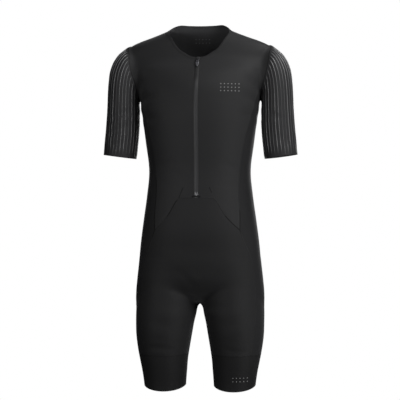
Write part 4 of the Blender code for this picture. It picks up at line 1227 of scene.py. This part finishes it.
class StageSettings(bpy.types.PropertyGroup):
    """Camera and light."""

    azimuth: FloatProperty(
        name="Azimuth", description="Camera's turn round the suit", default=math.radians(5.5), subtype="ANGLE"
    )
    distance: FloatProperty(
        name="Distance", description="Camera's distance", default=3.6, min=1.0, subtype="DISTANCE"
    )
    light: FloatProperty(name="Light", description="All the lamps, as a factor", default=1.0, min=0.0)
    ambient: FloatProperty(name="Ambient", description="Strength of the even light", default=0.0, min=0.0)


class SkinsuitSettings(bpy.types.PropertyGroup):
    """All settings of the skinsuit."""

    cloth: PointerProperty(type=ClothSettings, name="Cloth", description="Sizes and colours of the cloth")
    zip: PointerProperty(type=ZipSettings, name="Zip", description="Colours of the zip")
    stage: PointerProperty(type=StageSettings, name="Stage", description="Camera and light")


CUT = {}


def cut_of(settings):
    """The seams, worked out once, and the crease depth taken from the settings."""
    WEAR["creases"] = settings.cloth.crease_depth
    if not CUT:
        CUT.update(leg_seams(trunk_seams()))
    return CUT


# ---------------------------------------------------------------- the stage

SUIT_MIDDLE = (0.0, 0.0, -0.45)
LAMPS = (  # softboxes: watts, width, place and what each one faces
    ("front_right_box", 12.0, 1.3, (1.90, -1.90, -0.36), SUIT_MIDDLE),
    ("right_box", 2.4, 1.3, (2.66, -0.47, -0.36), SUIT_MIDDLE),
    ("low_right_box", 10.0, 1.3, (2.02, -1.17, -1.80), SUIT_MIDDLE),
    ("front_left_box", 11.4, 1.3, (-1.35, -2.34, -0.36), SUIT_MIDDLE),
    ("left_box", 2.6, 1.3, (-2.07, -1.73, -0.36), SUIT_MIDDLE),
    ("high_front_box", 7.7, 1.3, (0.65, -1.40, 1.76), SUIT_MIDDLE),
    ("high_right_box", 14.5, 1.3, (1.46, -1.46, 1.29), SUIT_MIDDLE),
    ("shoulder_box", 4.5, 0.5, (0.90, 0.0, 0.90), (0.1, 0.0, -0.1)),
    ("back_left_box", 18.0, 1.4, (0.9, 2.7, 0.1), SUIT_MIDDLE),
    ("back_right_box", 18.0, 1.4, (-0.9, 2.7, 0.1), SUIT_MIDDLE),
)
CAMERA_LEVEL = -0.4394
VIEW_WIDTH = 1.04  # metres across the picture at the suit
FLOOR_LEVEL = -1.05
FLOOR_CORNERS = 96
FLOOR_THICK = 0.003
FLOOR_RINGS = ((0.45, FLOOR_LEVEL), (0.447, FLOOR_LEVEL + FLOOR_THICK), (0.0015, FLOOR_LEVEL + FLOOR_THICK))


def lay_floor(scene):
    """A round plate, as rings of points, that shows under the suit but throws no light on it."""
    turn = np.linspace(0, 2 * np.pi, FLOOR_CORNERS, endpoint=False)
    rim = np.stack([np.cos(turn), np.sin(turn), 0 * turn], axis=1)
    points = np.concatenate([rim * (radius, radius, 0) + (0, 0, level) for radius, level in FLOOR_RINGS])
    faces = grid_faces(len(FLOOR_RINGS), FLOOR_CORNERS, closed=True).tolist()
    faces.append(list(range(len(points) - FLOOR_CORNERS, len(points))))
    mesh = bpy.data.meshes.new("floor")
    mesh.from_pydata(points.tolist(), [], faces)
    mesh.materials.append(floor_paint("pale_floor"))
    floor = bpy.data.objects.new("floor", mesh)
    floor.visible_diffuse = floor.visible_glossy = False
    scene.collection.objects.link(floor)


def light_world(scene, ambient):
    """White behind the suit for the camera, and even light of its own strength on the cloth."""
    world = bpy.data.worlds.new("studio")
    world.use_nodes = True
    tree = world.node_tree
    tree.nodes.clear()
    start = Socket(tree, None)
    seen_by_camera = start.out("ShaderNodeLightPath", (), "Is Camera Ray")
    strength = seen_by_camera * (1.0 - ambient) + ambient
    even = start.node("ShaderNodeBackground", (), Color=(1.0, 1.0, 1.0, 1.0), Strength=strength)
    end = tree.nodes.new("ShaderNodeOutputWorld")
    tree.links.new(even.outputs[0], end.inputs["Surface"])
    scene.world = world


class SKINSUIT_OT_stage(bpy.types.Operator):
    """Set the floor, the lights and the camera"""

    bl_idname = "skinsuit.stage"
    bl_label = "Stage"
    bl_options = {"REGISTER", "UNDO"}

    def execute(self, context):
        scene, stage = context.scene, context.scene.skinsuit.stage
        camera = bpy.data.cameras.new("photo_camera")
        camera.lens = camera.sensor_width * stage.distance / VIEW_WIDTH
        stand = bpy.data.objects.new("photo_camera", camera)
        away = Vector((math.sin(stage.azimuth), -math.cos(stage.azimuth), 0.0))
        stand.location = Vector((0.0, 0.0, CAMERA_LEVEL)) + stage.distance * away
        stand.rotation_euler = (math.pi / 2, 0.0, stage.azimuth)
        scene.collection.objects.link(stand)
        scene.camera = stand
        for name, power, width, place, target in LAMPS:
            light = bpy.data.lights.new(name, "AREA")
            light.energy, light.shape, light.size = power * stage.light, "DISK", width
            lamp = bpy.data.objects.new(name, light)
            lamp.location = place
            lamp.visible_camera = False
            lamp.rotation_euler = (Vector(target) - Vector(place)).to_track_quat("-Z", "Y").to_euler()
            scene.collection.objects.link(lamp)
        lay_floor(scene)
        light_world(scene, stage.ambient)
        scene.view_settings.view_transform = "Standard"
        scene.view_settings.look = "None"
        return {"FINISHED"}


# ---------------------------------------------------------------- panels of cloth

BODY_ROUGHNESS, BODY_SHEEN = 0.60, 0.35
SIDE_ROUGHNESS, SIDE_SHEEN, SIDE_PITCH = 0.68, 0.15, 1.4  # the sides' knit is more open
SHORTS_ROUGHNESS, SHORTS_SHEEN = 0.64, 0.25
BELLY_PAINTED_LIGHT = (-0.560, -0.490, 0.55)  # two heights, and how much lighter the knit is painted above them: painted light on the belly, painted shade below
INSIDE_BACK_PAINTED_LIGHT, INSIDE_BINDING_PAINTED_LIGHT = 3.2, 2.6  # how much lighter the inner faces are painted: painted light where the lamps hardly reach inside the neck
BAND_TONE = 0.93


class SKINSUIT_OT_fronts(bpy.types.Operator):
    """Lay the two front panels between zip, neck, armhole, side and belly seams"""

    bl_idname = "skinsuit.fronts"
    bl_label = "Front panels"
    bl_options = {"REGISTER", "UNDO"}

    def execute(self, context):
        settings = context.scene.skinsuit
        cloth, cut = settings.cloth, cut_of(settings)
        bottom = np.concatenate([cut["peak"], cut["peak_side"][1:]])
        top = np.concatenate([cut["bound_front"], cut["shoulder"][1:]])
        right = np.concatenate([cut["side_front"][::-1], cut["hole_front"][::-1][1:]])
        grid = sheet(bottom, top, cut["zip"][::-1], right)
        for hand, dots in (("left", DOTS_CHEST), ("right", None)):
            name = f"front_{hand}"
            look = knit(f"{name}_knit", cloth.body_colour, cloth.knit_pitch, BODY_ROUGHNESS, BODY_SHEEN, dots)
            mesh = cloth_mesh(name, *half_cloth(grid, HANDS[hand], cloth.thickness))
            cloth_piece(name, mesh, look)
        return {"FINISHED"}


class SKINSUIT_OT_back(bpy.types.Operator):
    """Lay the back panel between seat, side, armhole, shoulder and neck seams"""

    bl_idname = "skinsuit.back"
    bl_label = "Back panel"
    bl_options = {"REGISTER", "UNDO"}

    def execute(self, context):
        settings = context.scene.skinsuit
        cloth, cut = settings.cloth, cut_of(settings)
        top = np.concatenate([cut["bound_back"][::-1], cut["shoulder"][1:]])
        right = np.concatenate([cut["side_back"][::-1], cut["hole_back"][1:]])
        levels = np.linspace(SEAT[0][1], -cut["bound_back"][-1, 2], CENTRE_MARKS)
        centre = seen(BACK, [(0, down) for down in levels])
        centre[0], centre[-1] = cut["seat"][0], cut["bound_back"][-1]
        grid = sheet(cut["seat"], top, evenly(centre, len(right) - 1), right)
        grid[:, 0, 0] = 0
        mesh = whole_cloth("back", *(half_cloth(grid, side, cloth.thickness) for side in HANDS.values()))
        # painted light on the back's inner face
        inside = tinted(cloth.body_colour, INSIDE_BACK_PAINTED_LIGHT)
        look = knit(
            "back_knit", cloth.body_colour, cloth.knit_pitch, BODY_ROUGHNESS, BODY_SHEEN, DOTS_NECK, inside
        )
        cloth_piece("back", mesh, look)
        return {"FINISHED"}


class SKINSUIT_OT_sides(bpy.types.Operator):
    """Lay the side panels from under the arms to the leg bands"""

    bl_idname = "skinsuit.sides"
    bl_label = "Side panels"
    bl_options = {"REGISTER", "UNDO"}

    def execute(self, context):
        settings = context.scene.skinsuit
        cloth, cut = settings.cloth, cut_of(settings)
        left = np.concatenate([cut["side_front"], cut["leg_front"][1:]])[::-1]
        right = np.concatenate([cut["side_back"], cut["leg_back"][1:]])[::-1]
        grid = sheet(cut["band_side"], cut["hole_under"], left, right)
        look = knit("side_knit", cloth.side_colour, cloth.knit_pitch * SIDE_PITCH, SIDE_ROUGHNESS, SIDE_SHEEN)
        for hand, side in HANDS.items():
            mesh = cloth_mesh(f"side_{hand}", *half_cloth(grid, side, cloth.thickness))
            cloth_piece(f"side_{hand}", mesh, look)
        return {"FINISHED"}


class SKINSUIT_OT_shorts(bpy.types.Operator):
    """Lay the front and back of the shorts, each across both legs"""

    bl_idname = "skinsuit.shorts"
    bl_label = "Shorts"
    bl_options = {"REGISTER", "UNDO"}

    def execute(self, context):
        settings = context.scene.skinsuit
        cloth, cut = settings.cloth, cut_of(settings)
        share = np.linspace(0, 1, FINE + 1)[:, None]
        across = settled((1 - share) * cut["centre_front"][0] + share * cut["peak"][0])
        across[0], across[-1] = cut["centre_front"][0], cut["peak"][0]
        front = sheet(
            cut["band_front"],
            np.concatenate([across, cut["peak"][1:], cut["peak_side"][1:]]),
            np.concatenate([cut["centre_front"], cut["inseam"][1:]])[::-1],
            cut["leg_front"][::-1],
        )
        back = sheet(
            cut["band_back"][::-1],
            cut["seat"],
            np.concatenate([cut["centre_back"], cut["inseam"][1:]])[::-1],
            cut["leg_back"][::-1],
        )
        for name, grid, paler in (("shorts_front", front, BELLY_PAINTED_LIGHT), ("shorts_back", back, None)):
            mesh = whole_cloth(name, *(half_cloth(grid, side, cloth.thickness) for side in HANDS.values()))
            look = knit(
                f"{name}_knit", cloth.shorts_colour, cloth.knit_pitch, SHORTS_ROUGHNESS, SHORTS_SHEEN, paler=paler
            )
            cloth_piece(name, mesh, look)
        return {"FINISHED"}


class SKINSUIT_OT_leg_bands(bpy.types.Operator):
    """Lay the elastic bands at the ends of the legs"""

    bl_idname = "skinsuit.leg_bands"
    bl_label = "Leg bands"
    bl_options = {"REGISTER", "UNDO"}

    def execute(self, context):
        settings = context.scene.skinsuit
        cloth, cut = settings.cloth, cut_of(settings)
        hem = round_leg(hem_level, cut["band_angles"])
        share = np.linspace(0, 1, BAND_ROWS * FINE + 1)[:, None, None]
        grid = settled((1 - share) * cut["band_top"] + share * hem)
        grid[0], grid[-1] = cut["band_top"], hem
        for hand, dots in (("left", DOTS_THIGH), ("right", None)):
            name = f"leg_band_{hand}"
            points, faces = shell(*wall_of(grid * (HANDS[hand], 1, 1), cloth.thickness), closed=True)
            look = band_knit(f"{name}_knit", tinted(cloth.shorts_colour, BAND_TONE), dots)
            cloth_piece(name, cloth_mesh(name, points, faces, wall_places(grid)), look)
        return {"FINISHED"}


# ---------------------------------------------------------------- sleeves

RIB_HALF = 0.10  # how wide a rib is at half its height, nearly, in pitches
RIB_RISES, RIB_SINKS = 0.10, 0.07  # shares of the sleeve over which the ribs rise and sink again
SLEEVE_ROUNDS = 5


def cuff(count):
    """The cuff's edge, count points round it from the outside forwards."""
    turn = np.radians(np.linspace(0, 360, RING_POINTS))
    direction = np.stack([np.cos(turn), -np.sin(turn), CUFF_TILT * np.cos(turn)], axis=1)
    middle = np.tile([CUFF_MIDDLE, ARM_MIDDLE, -CUFF_DOWN], (len(turn), 1))
    return settled(evenly(reached(middle, direction), count)[:-1], rounds=1)


def on_arm(turn, down):
    """Points of the bare arm's section, at angles from the outside forwards."""
    x = read(ARM, "centre", down) + read(ARM, "half_width", down) * np.cos(turn)
    y = ARM_MIDDLE - read(ARM, "half_depth", down) * np.sin(turn)
    return np.stack([x, y, -down], axis=-1)


def sleeve_grid(cut):
    """The sleeve from armhole to cuff: its rows turn and fall from the one's points to the other's."""
    count = RIBS * RIB_FINE
    ends, hole = cuff(count), cut["ribs"]
    share = np.linspace(0, 1, SLEEVE_ROWS * FINE + 1)[:, None]
    round_cuff = np.linspace(0, 2 * np.pi, count, endpoint=False)
    hole_down = -hole[:, 2]
    round_hole = np.arctan2(ARM_MIDDLE - hole[:, 1], hole[:, 0] - read(ARM, "centre", hole_down))
    round_hole += 2 * np.pi * np.round((round_cuff - round_hole) / (2 * np.pi))
    turn = round_cuff + (round_hole - round_cuff) * (1 - share) ** CAP_TURN
    down = hole_down + (-ends[:, 2] - hole_down) * share ** (RIB_DROP + RIB_DROP_ROUND * np.cos(round_cuff))
    grid = on_arm(turn, down) + (hole - on_arm(round_hole, hole_down)) * (1 - share[..., None]) ** CAP_SHAPE
    for _ in range(SLEEVE_ROUNDS):
        trunk_side = read(ARMHOLE, "across", -grid[1:-1, :, 2])
        grid[1:-1, :, 0] = np.maximum(grid[1:-1, :, 0], trunk_side)
        grid = settled(grid, rounds=1)
    grid[0], grid[-1] = hole, ends
    return grid


def rib_rise(rows, count):
    """How far the ribs stand out, from 0 to 1, over the sleeve's grid.

    Each is a bell of the distance from its line, times a smooth step from nothing at both ends of the sleeve.
    """
    along = np.linspace(0, 1, rows)
    away = np.abs((np.arange(count) / RIB_FINE + 0.5) % 1 - 0.5)
    ends = np.clip(np.minimum(along / RIB_RISES, (1 - along) / RIB_SINKS), 0, 1)
    return (ends * ends * (3 - 2 * ends))[:, None] * np.exp(-((away / RIB_HALF) ** 2))[None]


class SKINSUIT_OT_sleeves(bpy.types.Operator):
    """Lay the ribbed sleeves from the armholes to the cuffs"""

    bl_idname = "skinsuit.sleeves"
    bl_label = "Sleeves"
    bl_options = {"REGISTER", "UNDO"}

    def execute(self, context):
        settings = context.scene.skinsuit
        cloth = settings.cloth
        grid = sleeve_grid(cut_of(settings))
        rows, count = grid.shape[:2]
        height = cloth.rib_height * rib_rise(rows, count)
        across = np.tile(np.arange(count) / RIB_FINE, (rows, 1))
        places = np.stack([across, weave_places(grid)[..., 1]], axis=-1)
        places = np.tile(places.reshape(-1, 2), (2, 1))
        look = ribbed("ribbed_knit", cloth.sleeve_colour, cloth.rib_colour)
        for hand, side in HANDS.items():
            name = f"sleeve_{hand}"
            own = grid * (side, 1, 1)
            outer, inner = wall_of(own, cloth.thickness)
            points, faces = shell(outer + height[..., None] * normals(own), inner, closed=True)
            cloth_piece(name, cloth_mesh(name, points, faces, places), look)
        return {"FINISHED"}


# ---------------------------------------------------------------- neck and zip

BINDING_ROWS = 9
BINDING_KNIT = (0.0008, 0.56, 0.30)  # its pitch, roughness and sheen
BINDING_RISE, BINDING_ROUNDNESS = 0.0004, 0.6
TAPE_ROWS = (0.012, 0.05, 0.12, 0.22, 0.34, 0.48, 0.62, 0.78, 0.90, 0.985)  # shares of the tape's half width
TAPE_CROWN, TAPE_SINK = 0.0008, 0.0010
GROOVE_DEPTH, GROOVE_HALF = 0.4, 0.04  # of the crown's height and of the tape's half width
METALS = (  # node, body, finish, share of the slot's colour, roughness and slot
    ("zip_slider", "suit", "dark_enamel", 1.6, 0.38, "dark_metal"),
    ("zip_pull", "pull_tab", "rubbed_enamel", 6.5, 0.36, "dark_metal"),
    ("zip_stop", "suit", "bare_metal", 1.4, 0.30, "stop_metal"),
)
EDGE_ROUNDING = 0.00022
LOOSE_CORNERS = 1e-5  # how far apart corners of a node's loose triangles may lie
FLAT_ANGLE, METAL_SHARP = 2, 60  # degrees between faces: merged below one, sharp above the other


class SKINSUIT_OT_binding(bpy.types.Operator):
    """Fold the binding over the neckline"""

    bl_idname = "skinsuit.binding"
    bl_label = "Neck binding"
    bl_options = {"REGISTER", "UNDO"}

    def execute(self, context):
        """Across the binding the cloth rises by a power of a half sine, so that its two edges lie low."""
        settings = context.scene.skinsuit
        cloth, cut = settings.cloth, cut_of(settings)
        share = np.linspace(0, 1, BINDING_ROWS)[:, None, None]
        grid = settled((1 - share) * cut["bound"] + share * cut["neck"], rounds=4)
        grid[:, -1, 0] = 0
        normal = normals(grid)
        lift = BINDING_RISE * np.sin(np.pi * share) ** BINDING_ROUNDNESS
        outer, inner = grid + lift * normal, grid - cloth.thickness * normal
        walls = [shell(worn(outer * (side, 1, 1)), worn(inner * (side, 1, 1))) for side in HANDS.values()]
        mesh = whole_cloth("neck_binding", *((*wall, wall_places(grid)) for wall in walls))
        # painted light on the binding's inner face
        inside = tinted(cloth.body_colour, INSIDE_BINDING_PAINTED_LIGHT)
        look = knit("binding_knit", SLOT_COLOURS["binding"], *BINDING_KNIT, inside=inside)
        cloth_piece("neck_binding", mesh, look)
        return {"FINISHED"}


class SKINSUIT_OT_zip_tapes(bpy.types.Operator):
    """Lay the two coated halves of the zip"""

    bl_idname = "skinsuit.zip_tapes"
    bl_label = "Zip tapes"
    bl_options = {"REGISTER", "UNDO"}

    def execute(self, context):
        """The halves make one crown, 1 - s^2 across, less a narrow bell in the middle where they meet."""
        settings = context.scene.skinsuit
        cut = cut_of(settings)
        edge = np.concatenate([cut["neck"][:1], cut["zip"]])
        centre = settled(edge * (0, 1, 1))
        s = np.array(TAPE_ROWS)
        grid = centre[:, None] + (edge - centre)[:, None] * s[None, :, None]
        normal = normals(centre)[:, None]
        crown = TAPE_CROWN * (1 - s**2) * (1 - GROOVE_DEPTH * np.exp(-((s / GROOVE_HALF) ** 2)))
        outer, inner = grid + crown[None, :, None] * normal, grid - TAPE_SINK * normal
        across = np.tile(s * ZIP_HALF, (len(grid), 1))
        places = np.stack([across, weave_places(grid)[..., 1]], axis=-1)
        places = np.tile(places.reshape(-1, 2), (2, 1))
        look = zip_coating("zip_coating", settings.zip.coating)
        for hand, side in HANDS.items():
            name = f"zip_tape_{hand}"
            points, faces = shell(outer * (side, 1, 1), inner * (side, 1, 1))
            cloth_piece(name, cloth_mesh(name, points, faces, places), look)
        return {"FINISHED"}


class SKINSUIT_OT_zip_metal(bpy.types.Operator):
    """Round the edges of the slider, its pull and the bottom stop"""

    bl_idname = "skinsuit.zip_metal"
    bl_label = "Slider, pull and stop"
    bl_options = {"REGISTER", "UNDO"}

    def execute(self, context):
        colours = context.scene.skinsuit.zip
        by_slot = {"dark_metal": colours.slider_colour, "stop_metal": colours.stop_colour}
        for name, body, look_name, share, roughness, slot in METALS:
            look = metal(look_name, tinted(by_slot[slot], share), roughness)
            mesh = frame["nodes"][name].data.copy()
            mesh.name = f"{name}_metal"
            mesh.materials.clear()
            shape = bmesh.new()
            shape.from_mesh(mesh)
            bmesh.ops.remove_doubles(shape, verts=shape.verts, dist=LOOSE_CORNERS)
            flat = math.radians(FLAT_ANGLE)
            bmesh.ops.dissolve_limit(shape, angle_limit=flat, verts=shape.verts, edges=shape.edges)
            bmesh.ops.recalc_face_normals(shape, faces=shape.faces)
            shape.to_mesh(mesh)
            shape.free()
            laid = piece(f"{name}_metal", mesh, look, body)
            rounded = laid.modifiers.new("Rounded edges", "BEVEL")
            rounded.width, rounded.segments, rounded.limit_method = EDGE_ROUNDING, 2, "ANGLE"
            mesh.shade_smooth()
            mesh.set_sharp_from_angle(angle=math.radians(METAL_SHARP))
            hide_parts(name)
        return {"FINISHED"}


# ---------------------------------------------------------------- sewing

DARTS = {  # a short tuck above each corner of the belly seam
    "left": ((0.0330, 0.4070), (0.0360, 0.4135), (0.0395, 0.4200)),
    "right": ((0.0335, 0.4080), (0.0395, 0.4210), (0.0443, 0.4346)),
}
DART_WIDTH = 0.0030
SEAMS_WITH_PAINTED_SHADOW = {  # the heights between which each of these seams gets a painted shadow line
    "belly_left": (-0.520, -0.482),
    "belly_right": (-0.476, -0.443),
    "side_front_left": (-0.516, -0.468),
    "side_front_right": (-0.530, -0.385),
}
SHADOWED_SEAM_WIDTH = 1.3  # how much wider a seam with a painted shadow line is than the others
ZIP_STITCH, NECK_STITCH = -0.0016, 0.0012  # how far each line of stitches runs beside its edge
STITCH_WIDTH, STITCH_RISE, STITCH_PITCH = 0.0007, 0.00012, 0.0026
PALE_WIDTH, PALE_RISE, PALE_PITCH = 0.0009, 0.0004, 0.0024
PALE_UNDER = 0.0009  # how far under the cloth's outer face the pale stitches lie
PALE_HALF = 0.028  # half the length of the pale stitches inside the back of the neck
TACK_DOWN, TACK_HALF, TACK_POINTS = 0.4305, 0.0100, 24
TACK_WIDTH, TACK_RISE, TACK_PITCH = 0.0046, 0.0005, 0.0009
TACK_LIFT, TACK_SINK = 0.0006, 0.0009


def threads(name, colour, ground, thread, pitch=0.0022, shadow_span=None):
    """A seam's finish, its ground and its thread given as shares of the cloth's colour."""
    return stitched(name, tinted(colour, ground), tinted(colour, thread), pitch, shadow_span)


class SKINSUIT_OT_seams(bpy.types.Operator):
    """Sew flat seams between the panels, and the darts"""

    bl_idname = "skinsuit.seams"
    bl_label = "Seams"
    bl_options = {"REGISTER", "UNDO"}

    def execute(self, context):
        settings = context.scene.skinsuit
        cloth, cut = settings.cloth, cut_of(settings)
        body, width, height = cloth.body_colour, cloth.seam_width, cloth.seam_height
        plain = threads("seam_thread", body, 0.70, 1.0)
        low = threads("shorts_thread", cloth.shorts_colour, 0.55, 0.8)
        deep = threads("armhole_thread", body, 0.25, 0.45)
        lines = {
            "shoulder": cut["shoulder"],
            "armhole": cut["hole"],
            "side_front": np.concatenate([cut["side_front"], cut["leg_front"][1:]]),
            "side_back": np.concatenate([cut["side_back"], cut["leg_back"][1:]]),
            "belly": np.concatenate([cut["peak"], cut["peak_side"][1:]]),
            "band": cut["band_top"],
        }
        for name, line in lines.items():
            closed = name in ("armhole", "band")
            for hand, side in HANDS.items():
                whole = f"{name}_{hand}"
                look, broad = {"armhole": deep, "band": low}.get(name, plain), width
                # these seams get a painted shadow line, and are wider
                if whole in SEAMS_WITH_PAINTED_SHADOW:
                    look = threads(f"{whole}_thread", body, 0.75, 0.95, shadow_span=SEAMS_WITH_PAINTED_SHADOW[whole])
                    broad = width * SHADOWED_SEAM_WIDTH
                sewn(f"seam_{whole}", line * (side, 1, 1), broad, height, look, closed)
        for name in ("seat", "inseam"):
            line = np.concatenate([cut[name][:0:-1] * (-1, 1, 1), cut[name]])
            sewn(f"seam_{name}", line, width, height, low)
        middle = np.linspace(-1, 1, 2 * FINE + 1)[1:-1, None]
        foot = settled(cut["peak"][0] * (middle * [[1, 0, 0]] + [[0, 1, 1]]))
        sewn("seam_zip_foot", foot, width, height, plain)
        for hand, side in HANDS.items():
            line = seam(seen(FRONT, DARTS[hand]), 2 * FINE) * (side, 1, 1)
            sewn(f"dart_{hand}", line, DART_WIDTH, height, deep)
        return {"FINISHED"}


class SKINSUIT_OT_stitching(bpy.types.Operator):
    """Sew the thread lines beside the zip, under the binding and inside the neck, and the tack at the zip's foot"""

    bl_idname = "skinsuit.stitching"
    bl_label = "Stitching"
    bl_options = {"REGISTER", "UNDO"}

    def execute(self, context):
        """Inside the neck the thread is pale and lies on the cloth's inner face."""
        settings = context.scene.skinsuit
        cut, body = cut_of(settings), settings.cloth.body_colour
        look = threads("thread", body, 0.6, 1.5, STITCH_PITCH)
        for name, line in (("zip", beside(cut["zip"], ZIP_STITCH)), ("neck", beside(cut["bound"], NECK_STITCH))):
            for hand, side in HANDS.items():
                own = line * (side, 1, 1)
                sewn(f"stitch_{name}_{hand}", own, STITCH_WIDTH, STITCH_RISE, look)
        inside = np.concatenate([cut["bound_back"], cut["bound_back"][-2::-1] * (-1, 1, 1)])
        inside = inside[np.abs(inside[:, 0]) < PALE_HALF]
        normal = normals(inside)
        strip = bead(inside - PALE_UNDER * normal, -normal, PALE_WIDTH, PALE_RISE)
        pale = threads("pale_thread", body, 1.6, 5.0, PALE_PITCH)
        piece("stitch_neck_inside", strip_mesh("stitch_neck_inside", *strip), pale)
        tack = seen(FRONT, [(x, TACK_DOWN) for x in np.linspace(-TACK_HALF, TACK_HALF, TACK_POINTS)])
        normal = normals(tack)
        strip = bead(tack + TACK_LIFT * normal, normal, TACK_WIDTH, TACK_RISE, sink=TACK_SINK)
        dense = threads("tack_thread", body, 0.10, 0.30, TACK_PITCH)
        piece("zip_tack", strip_mesh("zip_tack", *strip), dense)
        return {"FINISHED"}


# ---------------------------------------------------------------- the panel and the run

OPERATORS = (
    SKINSUIT_OT_stage,
    SKINSUIT_OT_fronts,
    SKINSUIT_OT_back,
    SKINSUIT_OT_sides,
    SKINSUIT_OT_shorts,
    SKINSUIT_OT_leg_bands,
    SKINSUIT_OT_sleeves,
    SKINSUIT_OT_binding,
    SKINSUIT_OT_zip_tapes,
    SKINSUIT_OT_zip_metal,
    SKINSUIT_OT_seams,
    SKINSUIT_OT_stitching,
)


class SKINSUIT_PT_panel(bpy.types.Panel):
    """Skinsuit panel in the sidebar"""

    bl_label = "Cycling skinsuit"
    bl_idname = "SKINSUIT_PT_panel"
    bl_space_type = "VIEW_3D"
    bl_region_type = "UI"
    bl_category = "Skinsuit"

    def draw(self, context):
        settings = context.scene.skinsuit
        for group in (settings.cloth, settings.zip, settings.stage):
            box = self.layout.box()
            for name in group.bl_rna.properties.keys():
                if name not in ("name", "rna_type"):
                    box.prop(group, name)
        for operator in OPERATORS:
            self.layout.operator(operator.bl_idname)


CLASSES = (ClothSettings, ZipSettings, StageSettings, SkinsuitSettings, *OPERATORS, SKINSUIT_PT_panel)


def register():
    """Register every class and the scene's settings."""
    for item in CLASSES:
        bpy.utils.register_class(item)
    bpy.types.Scene.skinsuit = PointerProperty(
        type=SkinsuitSettings, name="Skinsuit", description="Skinsuit settings"
    )


def unregister():
    """Take the settings and every class away again."""
    del bpy.types.Scene.skinsuit
    for item in reversed(CLASSES):
        bpy.utils.unregister_class(item)


def main():
    """Build the stage and every piece."""
    register()
    for operator in OPERATORS:
        group, name = operator.bl_idname.split(".")
        getattr(getattr(bpy.ops, group), name)()


if __name__ == "__main__":
    main()
